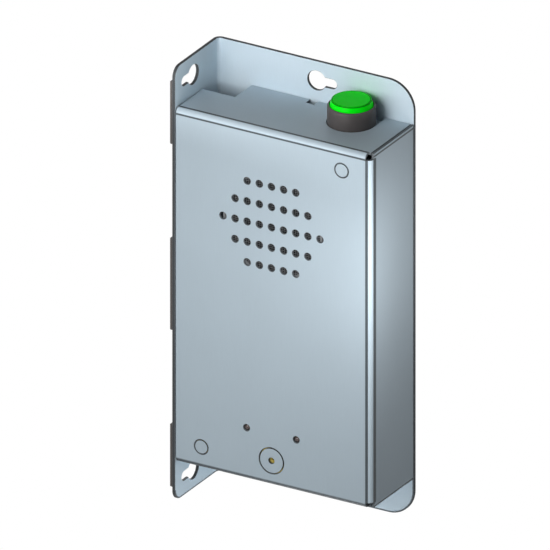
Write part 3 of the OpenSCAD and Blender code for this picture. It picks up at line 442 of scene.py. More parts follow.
# Lighter than the cover's tint: painted light that brightens the back plate where the lamps reach
# it less
SHEET_TINT = (0.67, 0.797, 0.887)
BRACKET_T, BRACKET_BEND = 1.5, 1.8
SIDE, DEPTH, EAR_TOP = 50.0, 39.0, 104.0
BACK_CORNER, SIDE_CORNER = 13, 5
KEYHOLE_Z, BACK_KEYHOLE, SIDE_KEYHOLE = 94.7, 1, 15.9
RIVET_XS, RIVET_Z, RIVET_R = (15.0, 38.8), 72.6, 1.55
RIM_WIDTH, RIM_FADE, RIM_END = 0.8, 0.4, 85
FOLD_STEPS, FOLD_SLACK = 10, 0.01
bracket_arc = (BRACKET_BEND + BRACKET_T / 2) * math.pi / 2
bracket_r = BRACKET_BEND + BRACKET_T
side_l = DEPTH - bracket_r
back_start = side_l + bracket_arc
back_end = back_start + 2 * SIDE - bracket_r


def bracket_place(u, v, h):
    """Side plate from its front edge, then the fold, then the back plate; h is inward."""
    if u <= side_l:
        return (-SIDE + h, u - DEPTH, v)
    if u < back_start:
        turn = (u - side_l) / bracket_arc * math.pi / 2
        r = bracket_r - h
        return (-SIDE + bracket_r - r * math.cos(turn), r * math.sin(turn) - bracket_r, v)
    return (-SIDE + bracket_r + u - back_start, -h, v)


corner_u, corner_v, ear_v = back_end - BACK_CORNER, EAR_TOP - BACK_CORNER, EAR_TOP - SIDE_CORNER
bracket_outline = (
    arc(corner_u, corner_v, BACK_CORNER, 0, 90, 18)
    + arc(SIDE_CORNER, ear_v, SIDE_CORNER, 90, 180, 10)
    + arc(SIDE_CORNER, -ear_v, SIDE_CORNER, 180, 270, 10)
    + arc(corner_u, -corner_v, BACK_CORNER, 270, 360, 18)
)
middle_u = back_start + SIDE - bracket_r
bracket_holes = []
for z in (KEYHOLE_Z, -KEYHOLE_Z):
    bracket_holes += [keyhole(middle_u + BACK_KEYHOLE, z, 1), keyhole(SIDE_KEYHOLE, z, -1)]
bracket_holes += [circle(middle_u + x, RIVET_Z, RIVET_R, 20) for x in RIVET_XS]
bracket_creases = []
for k in range(FOLD_STEPS + 1):
    u = side_l + bracket_arc * k / FOLD_STEPS
    bracket_creases.append(((u, -EAR_TOP - 1), (u, EAR_TOP + 1)))
# A band of painted shade darkens the rim of the two lower ears
lower_rim = [p for p in offset(bracket_outline, EDGE_BREAK) if p.y < -corner_v]
lower_rim.append(Vector((back_end - EDGE_BREAK, -RIM_END)))
bracket_marks = [(a, b, RIM_WIDTH) for a, b in zip(lower_rim, lower_rim[1:])]
for p in (lower_rim[0], lower_rim[-1]):
    bracket_creases.append(((p.x - 1, p.y + RIM_FADE), (p.x + 1, p.y + RIM_FADE)))
bracket = sheet_piece(
    "bracket",
    [bracket_outline] + bracket_holes,
    bracket_creases,
    bracket_marks,
    bracket_place,
    BRACKET_T,
    lambda u, v: side_l + FOLD_SLACK < u < back_start - FOLD_SLACK,
)
# The bracket's fold gets only a faint painted highlight
bracket.data.materials.append(steel("bracket_steel", SHEET_TINT, fold_highlight=0.05))
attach(bracket, "housing")
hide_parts("mounting_bracket")


# ---------------------------------------------------------------- front cover
# One 1.2 mm sheet with its top, bottom and right sides folded back and open
# corners. It is pierced for the speaker, two lamps, the microphone and two screws.
class Growth(Graph):
    """A Geometry Nodes tree with named inputs for its sizes."""

    def __init__(self, name, **sizes):
        super().__init__(bpy.data.node_groups.new(name, "GeometryNodeTree"))
        self.sizes = sizes
        for key, value in sizes.items():
            kind = "NodeSocketInt" if isinstance(value, int) else "NodeSocketFloat"
            self.tree.interface.new_socket(key, in_out="INPUT", socket_type=kind)
        self.tree.interface.new_socket("Mesh", in_out="OUTPUT", socket_type="NodeSocketGeometry")
        self.group = self.tree.nodes.new("NodeGroupInput")

    def size(self, name):
        return Tone(self, self.group.outputs[name])

    def vector(self, x, y, z):
        return self.node("ShaderNodeCombineXYZ", {}, {0: x, 1: y, 2: z})

    def parts(self, vector):
        return [self.node("ShaderNodeSeparateXYZ", {}, {0: vector}, out=k) for k in range(3)]

    def line(self, count, start, end):
        """Points in a row from one place to another."""
        ends = {"Count": count, "Start Location": start, "Offset": end}
        return self.node("GeometryNodeMeshLine", {"mode": "END_POINTS"}, ends)

    def copies(self, points, shape, **more):
        """A copy of a shape on every point."""
        return self.node(
            "GeometryNodeInstanceOnPoints", {}, {"Points": points, "Instance": shape, **more}
        )

    def wire(self, path, sides, r, caps=False):
        """A round wire along a curve."""
        ring = {"Resolution": sides, "Radius": r}
        ring = self.node("GeometryNodeCurvePrimitiveCircle", {}, ring)
        drawn = {"Curve": path, "Profile Curve": ring, "Fill Caps": caps}
        return self.node("GeometryNodeCurveToMesh", {}, drawn)

    def shape_of(self, piece):
        return self.node("GeometryNodeObjectInfo", {}, {"Object": piece}, out="Geometry")

    def compare(self, operation, one, other):
        settings = {"data_type": "FLOAT", "operation": operation}
        return self.node("FunctionNodeCompare", settings, {0: one, 1: other})

    def join(self, *shapes):
        joined = self.tree.nodes.new("GeometryNodeJoinGeometry")
        for shape in shapes:
            self.fill(joined.inputs[0], shape)
        return Tone(self, joined.outputs[0])

    def grow(self, shape, material, name):
        """Ends the tree in Realize Instances and Set Material, and makes it a plain mesh."""
        solid = self.node("GeometryNodeRealizeInstances", {}, {0: shape})
        dressed = {"Geometry": solid, "Material": material}
        dressed = self.node("GeometryNodeSetMaterial", {}, dressed)
        self.fill(self.tree.nodes.new("NodeGroupOutput").inputs[0], dressed)
        host = added(name, bpy.data.meshes.new(name))
        grown = host.modifiers.new("growth", "NODES")
        grown.node_group = self.tree
        for socket in self.tree.interface.items_tree:
            if socket.item_type == "SOCKET" and socket.in_out == "INPUT":
                grown[socket.identifier] = self.sizes[socket.name]
        bpy.context.view_layer.update()
        graph = bpy.context.evaluated_depsgraph_get()
        plain = bpy.data.meshes.new_from_object(host.evaluated_get(graph), depsgraph=graph)
        plain.name = name
        host.modifiers.clear()
        host.data = plain
        return host


COVER_TINT = (0.505, 0.605, 0.675)
COVER_T, COVER_BEND, SEAM, TOP = 1.2, 1.5, 0.2, 85.0
SPEAKER_Z, MIC_Z, MIC_HOLE_R = 39.0, -73.0, 6.25
LAMP_X, LAMP_Z, LAMP_HOLE_R = 12.5, -60.0, 1.6
SCREW_X, SCREW_Z, SCREW_R, SCREW_GAP = 35.3, 74.6, 3.15, 0.2
BUTTON_X, BUTTON_DEPTH, BEZEL_R = 25.0, 12.7, 10.7
CABLE_NOTCH, CABLE_NOTCH_END = 16.5, 16
MIDDLE_NOTCH, MIDDLE_NOTCH_END = 2, 5.5
cover_arc = (COVER_BEND + COVER_T / 2) * math.pi / 2
fold_r = COVER_BEND + COVER_T
fold_x, fold_z, fold_depth = SIDE - fold_r, TOP - fold_r, DEPTH - fold_r
cover_left = -SIDE + BRACKET_T + SEAM + 0.1
cover_rear = BRACKET_T + SEAM


def cover_place(u, v, h):
    """Front face, then whichever flange the flat point belongs to; h is outward."""
    over, across = abs(v) - fold_z, u - fold_x
    r = COVER_BEND + h
    if over > 0 and over >= across:
        turn = min(over / cover_arc, 1) * math.pi / 2
        drop = max(over - cover_arc, 0)
        z = fold_z + r * math.sin(turn)
        return (u, -(fold_depth + r * math.cos(turn) - drop), math.copysign(z, v))
    if across > 0:
        turn = min(across / cover_arc, 1) * math.pi / 2
        drop = max(across - cover_arc, 0)
        return (fold_x + r * math.sin(turn), -(fold_depth + r * math.cos(turn) - drop), v)
    return (u, -(fold_depth + r), v)


def flat_of(depth):
    """Flat height of a point on the top at a depth from the wall."""
    return fold_z + cover_arc + fold_depth - depth


flange_top = flat_of(cover_rear)
flange_right = fold_x + cover_arc + fold_depth - cover_rear
flap_x = fold_x + fold_r - COVER_T - SEAM
notch_r = BEZEL_R + SEAM
corner = [(flap_x, fold_z + cover_arc), (fold_x, fold_z + cover_arc), (fold_x, fold_z)]
corner += [(fold_x + cover_arc, fold_z), (fold_x + cover_arc, TOP), (flange_right, TOP)]
rear_edge = [(BUTTON_X - notch_r, flange_top), (MIDDLE_NOTCH, flange_top)]
rear_edge += [(x, flat_of(MIDDLE_NOTCH_END)) for x in (MIDDLE_NOTCH, -MIDDLE_NOTCH)]
rear_edge += [(-MIDDLE_NOTCH, flange_top), (cover_left + CABLE_NOTCH, flange_top)]
rear_edge += [(x, flat_of(CABLE_NOTCH_END)) for x in (cover_left + CABLE_NOTCH, cover_left)]
cover_outline = (
    arc(cover_left + BRACKET_BEND, BRACKET_BEND - flange_top, BRACKET_BEND, 180, 270, 6)
    + [Vector((flap_x, -flange_top))]
    + [Vector((x, -z)) for x, z in corner]
    + [Vector(p) for p in corner[::-1]]
    + [Vector((flap_x, flange_top)), Vector((BUTTON_X + notch_r, flange_top))]
    + arc(BUTTON_X, flat_of(BUTTON_DEPTH), notch_r, 0, -180, 36)
    + [Vector(p) for p in rear_edge]
)

# Perforation: a diamond cut from a grid of holes, nine across and five up
HOLE_R, HOLE_SIDES, ACROSS, UP, DIAMOND = 1.7, 32, 6.1, 9.75, 4.5
piercing = Growth(
    "piercing",
    across=ACROSS * MM,
    up=UP * MM,
    bore=HOLE_R * MM,
    columns=9,
    lines=5,
    sides=HOLE_SIDES,
)
spans, shares = {}, []
for axis, step, count in (("X", "across", "columns"), ("Y", "up", "lines")):
    spans["Size " + axis] = (piercing.size(count) - 1) * piercing.size(step)
    spans["Vertices " + axis] = piercing.size(count)
grid = piercing.node("GeometryNodeMeshGrid", {}, spans)
places = piercing.parts(piercing.node("GeometryNodeInputPosition"))
for place, step in zip(places, ("across", "up")):
    shares.append(piercing.sum("ABSOLUTE", piercing.sum("DIVIDE", place, piercing.size(step))))
kept = piercing.compare("LESS_THAN", shares[0] + shares[1], DIAMOND)
ring = {"Vertices": piercing.size("sides"), "Radius": piercing.size("bore")}
ring = piercing.node("GeometryNodeMeshCircle", {}, ring)
punched = piercing.copies(grid, ring, Selection=kept)
cover_steel = steel("cover_steel", COVER_TINT, (0.15, 0.168, 0.182))
pattern = piercing.grow(punched, cover_steel, "piercing")
at = [Vector((v.co.x, v.co.y)) / MM + Vector((0, SPEAKER_Z)) for v in pattern.data.vertices]
grille = [at[i : i + HOLE_SIDES][::-1] for i in range(0, len(at), HOLE_SIDES)]
bpy.data.objects.remove(pattern)

cover_holes = grille + [circle(s * LAMP_X, LAMP_Z, LAMP_HOLE_R, 28) for s in (-1, 1)]
cover_holes.append(circle(0, MIC_Z, MIC_HOLE_R, 56))
cover_holes += [circle(s * SCREW_X, s * SCREW_Z, SCREW_R + SCREW_GAP) for s in (-1, 1)]
cover_creases, cover_marks = [], []
for k in range(FOLD_STEPS + 1):
    step = cover_arc * k / FOLD_STEPS
    for v in (fold_z + step, -fold_z - step):
        cover_creases.append(((cover_left - 1, v), (flap_x + 1, v)))
    cover_creases.append(((fold_x + step, -fold_z), (fold_x + step, fold_z)))
# Dark lines painted beside each fold and along the edges of the right side; the wide one
# under the front is painted shade on the bottom fold, the ring round each screw painted shade at
# its gap
for level, half in ((fold_z, 0.5), (fold_z + cover_arc, 0.7), (-fold_z - cover_arc * 0.42, 1.5)):
    cover_marks.append(((cover_left - 1, level), (fold_x, level), half))
for across, half in ((fold_x + 0.4, 0.7), (fold_x + cover_arc + 0.8, 1.5)):
    cover_marks.append(((across, -fold_z), (across, fold_z), half))
for level, half in ((0.35 - TOP, 0.8), (TOP - 1.5, 0.6)):
    cover_marks.append(((fold_x + cover_arc, level), (flange_right, level), half))
cover_marks.append(((flange_right - 0.2, -TOP), (flange_right - 0.2, TOP), 0.8))
RING_WIDTH = 0.25
for side in (-1, 1):
    around = circle(side * SCREW_X, side * SCREW_Z, SCREW_R + SCREW_GAP + EDGE_BREAK)
    cover_marks += [(a, b, RING_WIDTH) for a, b in zip(around, around[1:] + around[:1])]


def cover_fold_highlight(u, v):
    """Share of the painted highlight on the folds: all on the right one, half on the top one, none
    on the bottom one.
    """
    over, across = abs(v) - fold_z, u - fold_x
    if v < -fold_z or not FOLD_SLACK < max(over, across) < cover_arc - FOLD_SLACK:
        return 0.0
    return 0.5 if over >= across else 1.0


cover_loops = [cover_outline] + cover_holes
cover = sheet_piece(
    "cover", cover_loops, cover_creases, cover_marks, cover_place, COVER_T, cover_fold_highlight
)
cover.data.materials.append(cover_steel)
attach(cover, "housing")
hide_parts("front_cover")


# ---------------------------------------------------------------- cover screws
# Two countersunk steel screws, flush with the cover. Their heads are plain discs with
# a narrow gap round them, and their shanks are threaded.
def piece_from(shape, name, sharp):
    """Makes a piece from a bmesh, smooth but for the edges above an angle."""
    for face in shape.faces:
        face.smooth = True
    for edge in shape.edges:
        edge.smooth = edge.calc_face_angle(0) < math.radians(sharp)
    mesh = bpy.data.meshes.new(name)
    shape.to_mesh(mesh)
    shape.free()
    return added(name, mesh)


def lathe(name, profile, segments=64, sharp=32, raw_below=-math.inf):
    """Turns a profile of (radius, height) points round Z; a ring where its ends meet.
    Faces under a height count as raw cut metal."""
    shape = bmesh.new()
    rings = []
    for r, h in profile:
        if r < 1e-6:
            rings.append([shape.verts.new((0, 0, h * MM))] * segments)
        else:
            angles = (2 * math.pi * k / segments for k in range(segments))
            spots = (Vector((r * math.cos(a), r * math.sin(a), h)) * MM for a in angles)
            rings.append([shape.verts.new(spot) for spot in spots])
    for lower, upper in zip(rings, rings[1:]):
        for k in range(segments):
            corners = (lower[k], lower[(k + 1) % segments], upper[(k + 1) % segments], upper[k])
            corners = list(dict.fromkeys(corners))
            if len(corners) > 2:
                shape.faces.new(corners)
    bmesh.ops.remove_doubles(shape, verts=shape.verts[:], dist=1e-7)
    bmesh.ops.recalc_face_normals(shape, faces=shape.faces[:])
    raw = [float(face.calc_center_median().z < raw_below * MM) for face in shape.faces]
    piece = piece_from(shape, name, sharp)
    piece.data.attributes.new("cut", "FLOAT", "FACE").data.foreach_set("value", raw)
    return piece


def settle(piece, body, *nodes, finish=None, at=(0, 0, 0), tilt=Matrix()):
    """Puts a finished mesh in its place, dresses it, and lets it stand for CAD nodes."""
    piece.data.transform(Matrix.Translation(Vector(at) * MM) @ tilt.to_4x4())
    if finish:
        piece.data.materials.clear()
        piece.data.materials.append(finish)
    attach(piece, body)
    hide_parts(*nodes)


THREAD, SHANK_R, ROOT_R, HEAD_H = 0.5, 1.45, 1.2, 1.85
shank = [(0, 0), (1.6, 0), (SCREW_R - 0.12, 0), (SCREW_R, -0.12), (SCREW_R, -0.2)]
shank += [(ROOT_R if k % 2 else SHANK_R, -HEAD_H - k * THREAD / 2) for k in range(33)]
shank += [(0.9, -10.3), (0, -10.4)]
screw_master = lathe("screw_master", shank, 40, raw_below=-0.04)
pair = Growth("screw_pair", right=SCREW_X * MM, up=SCREW_Z * MM, front=DEPTH * MM, count=2)
right, front, up = (pair.size(name) for name in ("right", "front", "up"))
front = front * -1
ends = pair.vector(right * -1, front, up * -1), pair.vector(right, front, up)
line = pair.line(pair.size("count"), *ends)
screws = pair.copies(line, pair.shape_of(screw_master), Rotation=(math.radians(90), 0, 0))
screws = pair.grow(screws, steel("screw_steel", (0.49, 0.585, 0.65)), "screws")
bpy.data.objects.remove(screw_master)
settle(screws, "housing", "cover_screws")


# ---------------------------------------------------------------- side pads
# Three self-adhesive rubber strips on the left side, at the ends and the middle of
# its front edge. They are cut from one extrusion with rounded edges.
rubber = Finish("pad_rubber")
crumb = rubber.noise(0.25, 3)
dust = rubber.noise(7, 4, rough=0.65).above(0.45, 0.8)
rubber.coat(
    rubber.mix(dust * 0.35 + crumb * 0.15, (0.082, 0.075, 0.072), (0.14, 0.132, 0.128)),
    0.62 + crumb * 0.2,
    crumb,
    0.03,
)
PAD_T, PAD_ROUND = 1.3, 0.4
PAD_DEPTHS = (34.2, 38.8)
PAD_SPANS = ((67.2, 97.2), (-22.0, 22.0), (-97.2, -67.2))
pads = bmesh.new()
for z0, z1 in PAD_SPANS:
    for vertex in bmesh.ops.create_cube(pads, size=1)["verts"]:
        x = -SIDE - (PAD_T if vertex.co.x < 0 else 0)
        y = -(PAD_DEPTHS[1] if vertex.co.y < 0 else PAD_DEPTHS[0])
        vertex.co = Vector((x, y, z0 if vertex.co.z < 0 else z1)) * MM
outer = [e for e in pads.edges if max(v.co.x for v in e.verts) < -(SIDE + PAD_T / 2) * MM]
bmesh.ops.bevel(
    pads, geom=outer, offset=PAD_ROUND * MM, segments=4, profile=0.5, affect="EDGES"
)
pads = piece_from(pads, "pads", 35)
settle(pads, "housing", "side_pads", finish=rubber.material)


# ---------------------------------------------------------------- speaker gauze
# A disc of plain-woven dark wire behind the perforation keeps dust off the cone.
# Warp and weft pass over and under each other, and a pressed hem holds the rim.
def flat_ring(inner, outer, low, high):
    """Profile of a flat ring."""
    return [(inner, low), (outer, low), (outer, high), (inner, high), (inner, low)]


FRONTWARD = Matrix.Rotation(math.radians(90), 4, "X")
gauze = Finish("gauze", Metallic=0.3, Roughness=0.55)
gauze.feed("Base Color", gauze.mix(gauze.noise(0.8), (0.17, 0.178, 0.185), (0.27, 0.28, 0.29)))
GAUZE_R, GAUZE_DEPTH, GAUZE_PITCH, WIRE_R, WAVE = 24.6, 37.65, 0.95, 0.085, 0.06
HEM_IN, HEM_OUT, HEM_H = 23.9, 24.96, 0.14
weave = Growth(
    "weave",
    reach=GAUZE_R * MM,
    pitch=GAUZE_PITCH * MM,
    wire=WIRE_R * MM,
    wave=WAVE * MM,
    count=53,
    steps=106,
)
end = (weave.size("count") - 1) * weave.size("pitch") * 0.5
start = end * -1
ends = (weave.vector(at, 0.0, 0.0) for at in (start, end))
strand = weave.line(weave.size("steps"), *ends)
sx, _, _ = weave.parts(weave.node("GeometryNodeInputPosition"))
phase = weave.sum("DIVIDE", sx, weave.size("pitch")) * math.pi
lift = weave.sum("COSINE", phase) * weave.size("wave")
waved = {"Geometry": strand, "Offset": weave.vector(0.0, 0.0, lift)}
strand = weave.node("GeometryNodeSetPosition", {}, waved)
strand = weave.node("GeometryNodeMeshToCurve", {}, {"Mesh": strand})
strand = weave.wire(strand, 4, weave.size("wire"))
ends = (weave.vector(0.0, at, 0.0) for at in (start, end))
across = weave.line(weave.size("count"), *ends)
index = weave.node("GeometryNodeInputIndex")
odd = weave.sum("MODULO", index, 2.0) * math.pi
turn = weave.node("FunctionNodeEulerToRotation", {}, {0: weave.vector(odd, 0.0, 0.0)})
warp = weave.copies(across, strand, Rotation=turn)
crossed = {"Geometry": warp, "Rotation": (math.pi, 0, math.pi / 2)}
weft = weave.node("GeometryNodeTransform", {}, crossed)
cloth = weave.node("GeometryNodeRealizeInstances", {}, {0: weave.join(warp, weft)})
px, py, _ = weave.parts(weave.node("GeometryNodeInputPosition"))
away = weave.sum("SQRT", px * px + py * py)
outside = weave.compare("GREATER_THAN", away, weave.size("reach"))
trimmed = {"Geometry": cloth, "Selection": outside}
cloth = weave.node("GeometryNodeDeleteGeometry", {"domain": "POINT"}, trimmed)
hem = lathe("hem", flat_ring(HEM_IN, HEM_OUT, -HEM_H, HEM_H), 96)
mesh_disc = weave.grow(weave.join(cloth, weave.shape_of(hem)), gauze.material, "speaker_mesh")
bpy.data.objects.remove(hem)
gauze_at = (0, -GAUZE_DEPTH, SPEAKER_Z)
settle(mesh_disc, "housing", "speaker_gauze", at=gauze_at, tilt=FRONTWARD)


# ---------------------------------------------------------------- microphone port
# A steel disc sits in a hole of the cover with a gap all round it. A turned brass
# bush behind shows in the gap, and its fine bore is the sound port.
LONGEST, STRAIGHT = 0.45, math.radians(150)


def eased(profile, d):
    """Rounds the corners of a profile by about d."""
    soft = [profile[0]]
    for before, p, after in zip(profile, profile[1:], profile[2:]):
        to, on = Vector(before) - Vector(p), Vector(after) - Vector(p)
        reach = min(d, to.length * LONGEST, on.length * LONGEST)
        if reach < 1e-4 or to.angle(on) > STRAIGHT:
            soft.append(p)
            continue
        start, end = (Vector(p) + way.normalized() * reach for way in (to, on))
        middle = (start + end) / 4 + Vector(p) / 2
        soft += [tuple(start), tuple(middle), tuple(end)]
    return soft + [profile[-1]]


def plated(name, tint, shine=0.32, metal=0.75):
    """Plated steel: mottled passivation with fine turning lines."""
    plate = Finish(name, Metallic=metal)
    blotch, fine = plate.noise(1.6, 3), plate.noise(0.12, 2)
    tint = plate.shaded(tint, 0.86 + blotch * 0.2 + fine * 0.08)
    return plate.coat(tint, shine + blotch * 0.12, fine, 0.004)


DISC_R, DISC_BORE, DISC_T = 5.75, 1.5, 1.2
disc = eased(flat_ring(DISC_BORE, DISC_R, -DISC_T, 0), 0.2)
disc = lathe("port_disc", disc, 96, raw_below=-0.12)
disc_steel = steel("port_steel", COVER_TINT)
disc_at = (0, -DEPTH, MIC_Z)
settle(disc, "housing", "microphone_disc", finish=disc_steel, at=disc_at, tilt=FRONTWARD)
BUSH_R, BUSH_T, PORT_R, GROOVE_H = 8.0, 1.3, 0.4, 0.12
bush = [(PORT_R, -BUSH_T), (BUSH_R, -BUSH_T), (BUSH_R, 0), (4.2, 0), (4.2, -GROOVE_H)]
bush += [(2.6, -GROOVE_H), (2.6, 0), (2 * PORT_R, 0), (PORT_R, -0.5), (PORT_R, -BUSH_T)]
bush = lathe("port_bush", eased(bush, 0.1), 96)
brass = plated("brass", (0.52, 0.42, 0.10), 0.28, 0.6)
bush_at = (0, -DEPTH + COVER_T, MIC_Z)
settle(bush, "housing", "microphone_bush", finish=brass, at=bush_at, tilt=FRONTWARD)


# ---------------------------------------------------------------- signal lamps
# Two 3 mm lamps of smoky epoxy that stand in holes of the cover, unlit. Each has a
# round shoulder at its base and a small metal cup inside.
smoke = Finish("lamp_lens", Roughness=0.18, IOR=1.5, Transmission_Weight=0.55)
smoke.feed("Base Color", smoke.mix(smoke.noise(1.0), (0.20, 0.145, 0.135), (0.26, 0.19, 0.175)))
cup_metal = plated("lamp_cup", (0.5, 0.45, 0.42))
LAMP_R, LAMP_BACK = 1.5, -5.3
shoulder = [(1.0, LAMP_BACK), (1.9, LAMP_BACK), (1.9, -4.4), (LAMP_R, -4.3), (LAMP_R, -LAMP_R)]
dome = arc(0, -LAMP_R, LAMP_R, 0, 90, 9)[:-1]
lens_profile = [(0, LAMP_BACK)] + eased(shoulder, 0.1)[:-1] + dome + [(0, 0)]
cup_profile = [(0, -3.3), (0.35, -3.3), (0.75, -2.5), (0.85, -2.5), (0.85, -3.9), (0, -3.9)]
for side, node_name in ((-1, "lamp_left"), (1, "lamp_right")):
    spot = (side * LAMP_X, -DEPTH, LAMP_Z)
    lens = lathe(node_name + "_lens", lens_profile, 40)
    settle(lens, "housing", node_name, finish=smoke.material, at=spot, tilt=FRONTWARD)
    cup = lathe(node_name + "_cup", cup_profile, 24)
    settle(cup, "housing", node_name, finish=cup_metal, at=spot, tilt=FRONTWARD)


# ---------------------------------------------------------------- push button
# A moulded bezel on a threaded barrel guides a translucent green cap. The cap, its
# diffuser and plunger go down 2 mm against a coil spring and close the contacts.
BEZEL_Z, BEZEL_TOP, BEZEL_ROUND = 84.3, 93.5, 0.6
BORE_R, BORE_ROUND, SEAT_R, SEAT_Z = 9.75, 0.18, 8.1, 86.3
moulded = Finish("bezel_plastic", Specular_IOR_Level=0.4)
mottle, spark = moulded.noise(5, 3), moulded.noise(0.18, 2)
moulded.coat(
    moulded.mix(mottle * 0.6 + spark * 0.3, (0.058, 0.051, 0.049), (0.082, 0.073, 0.071)),
    0.36 + mottle * 0.1 + spark * 0.1,
    spark,
    0.01,
)
rim = [(SEAT_R, BEZEL_Z), (BEZEL_R, BEZEL_Z), (BEZEL_R, BEZEL_TOP - BEZEL_ROUND)]
rim += [(BEZEL_R - BEZEL_ROUND, BEZEL_TOP), (BORE_R + BORE_ROUND, BEZEL_TOP)]
rim += [(BORE_R, BEZEL_TOP - BORE_ROUND), (BORE_R, SEAT_Z), (SEAT_R, SEAT_Z), (SEAT_R, BEZEL_Z)]
bezel = lathe("bezel", eased(rim, 0.14), 128)
button_at = (BUTTON_X, -BUTTON_DEPTH, 0)
settle(bezel, "housing", "button_bezel", finish=moulded.material, at=button_at)

CAP_R, CAP_IN_R, CAP_FOOT, CAP_ROOF, CAP_TOP = 9.45, 7.8, 89.6, 94.6, 95.9
# The cap's emission is a painted glow: it shines faintly green though the lamp under it is not lit
green = Finish("green_lens", Roughness=0.25, Specular_IOR_Level=0.04, Emission_Strength=0.15)
# A band just below the cap's top, over its groove and rounded rim, is darkened and kept from
# glowing: painted shade
drop = CAP_TOP - green.measured(2) * (1 / MM)
groove_shade = drop.above(0.04, 0.14) * (1 - drop.above(0.3, 0.5))
swirl = green.mix(green.noise(4, 3), (0.0, 0.80, 0.006), (0.002, 0.92, 0.01))
green.feed("Base Color", green.mix(groove_shade, swirl, (0.0, 0.07, 0.002)))
green.feed("Emission Color", green.mix(groove_shade, (0.0, 1.0, 0.0), (0.0, 0.0, 0.0)))
green.bump(green.noise(0.3, 2), 0.006)
cap = [(CAP_IN_R, CAP_FOOT), (CAP_R, CAP_FOOT), (CAP_R, BEZEL_TOP), (8.8, CAP_TOP - 0.18)]
cap += [(8.65, CAP_TOP), (8.55, CAP_TOP), (8.35, CAP_TOP - 0.3), (8.15, CAP_TOP)]
cap = eased(cap, 0.1) + [(5.0, CAP_TOP), (0, CAP_TOP), (0, CAP_ROOF)]
cap += [(CAP_IN_R - 0.2, CAP_ROOF), (CAP_IN_R, CAP_ROOF - 0.2), (CAP_IN_R, CAP_FOOT)]
settle(lathe("cap", cap, 128), "button", "button_lens", finish=green.material, at=button_at)

COIL_R, COIL_WIRE, COIL_TURNS, COIL_Z = 4.1, 0.35, 5.0, (73.05, 79.95)
coil = Growth(
    "coil",
    turns=COIL_TURNS,
    radius=COIL_R * MM,
    wire=COIL_WIRE * MM,
    height=(COIL_Z[1] - COIL_Z[0] - 2 * COIL_WIRE) * MM,
    steps=40,
)
turned = {"Resolution": "steps", "Rotations": "turns", "Height": "height"}
turned.update({"Start Radius": "radius", "End Radius": "radius"})
turned = {name: coil.size(size) for name, size in turned.items()}
coiled = coil.wire(coil.node("GeometryNodeCurveSpiral", {}, turned), 12, coil.size("wire"), True)
zinc = plated("zinc_hardware", (0.62, 0.63, 0.64))
spring = coil.grow(coiled, zinc, "return_spring")
settle(spring, "housing", "button_spring", at=(BUTTON_X, -BUTTON_DEPTH, COIL_Z[0] + COIL_WIRE))
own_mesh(spring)


# ---------------------------------------------------------------- button, inside
# The barrel is of the bezel's plastic, held by a washer and a nut on a pressed
# bracket, which two rivets fix to the back plate. A lamp shines up the bore.
def dress(material, *names):
    """Puts a finish on CAD nodes that keep their shape."""
    for name in names:
        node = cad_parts[name]
        node.data.materials.clear()
        node.data.materials.append(material)


def soften(width, *names):
    """Breaks the sharp edges of CAD nodes by width."""
    for name in names:
        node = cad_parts[name]
        weld = node.modifiers.new("joined", "WELD")
        weld.merge_threshold = WELD
        edge = node.modifiers.new("soft_edge", "BEVEL")
        edge.width = width * MM
        edge.segments = 2
        edge.limit_method = "ANGLE"
        edge.angle_limit = math.radians(50)


def plastic(name, tint, gloss=0.4, grain=0.2):
    """Moulded plastic: slight flow marks and a fine spark-eroded grain."""
    made = Finish(name)
    flow, spark = made.noise(6, 3), made.noise(grain, 2)
    tint = made.shaded(tint, 0.88 + flow * 0.14 + spark * 0.08)
    made.coat(tint, gloss + spark * 0.12, spark, 0.008)
    return made


def stripes(finish, axis, pitch):
    """Ridges from 0 to 1 along an axis, pitch millimetres apart."""
    turns = finish.measured(axis) * (2 * math.pi / (pitch * MM))
    return finish.sum("SINE", turns) * 0.5 + 0.5


barrel = plastic("barrel_plastic", (0.082, 0.072, 0.069), 0.42)
barrel.bump(stripes(barrel, 2, 1.0), 0.35)
dress(barrel.material, "button_barrel")
foam = Finish("foam", Roughness=0.95)
pores = foam.noise(0.35, 3)
foam.feed("Base Color", foam.mix(pores, (0.028, 0.028, 0.03), (0.075, 0.075, 0.08)))
foam.bump(pores, 0.12)
dress(foam.material, "button_gasket", "speaker_gasket", "microphone_boot")
dress(zinc, "button_washer", "button_locknut")
dress(plated("rivet_steel", (0.36, 0.40, 0.43), 0.42, 0.4), "button_rivets")
soften(0.12, "button_locknut")
bracket_sheet = steel("button_bracket_steel", (0.46, 0.54, 0.60))
dress(bracket_sheet, "button_bracket")
milk = plastic("white_plastic", (0.80, 0.81, 0.78), 0.35, 0.5)
dress(milk.material, "button_diffuser", "button_plunger", "button_lamp")
copper = plated("copper", (0.62, 0.27, 0.12), 0.25, 0.8)
dress(copper, "button_contact_ring")
black = plastic("dark_plastic", (0.028, 0.028, 0.03), 0.45)
dress(black.material, "button_base")
soften(0.15, "button_base")
dress(brass, "button_terminals")


# ---------------------------------------------------------------- loudspeaker
# A 50 mm loudspeaker with a dark paper cone in a pressed basket and a ferrite ring
# magnet. Four clamps on studs, welded behind the cover, hold its rim on a foam ring.
paper = Finish("cone_paper")
fibre, pulp = paper.noise(0.7, 4, (1, 1, 0.3), 0.7), paper.noise(2.5, 3)
ROLL_R, ROLL_PITCH = 20.0, 1.6
x, z = paper.measured(0), paper.measured(2) - SPEAKER_Z * MM
r = paper.sum("SQRT", x * x + z * z) * (1 / MM)
rolls = paper.sum("SINE", r * (2 * math.pi / ROLL_PITCH)) * r.above(ROLL_R - 0.5, ROLL_R + 0.5)
tint = paper.mix(fibre * 0.7 + pulp * 0.3, (0.016, 0.015, 0.015), (0.06, 0.055, 0.052))
paper.coat(tint, 0.85 + fibre * 0.1, fibre * 0.25 + rolls * 0.75, 0.25)
dress(paper.material, "speaker_cone", "speaker_dust_cap")
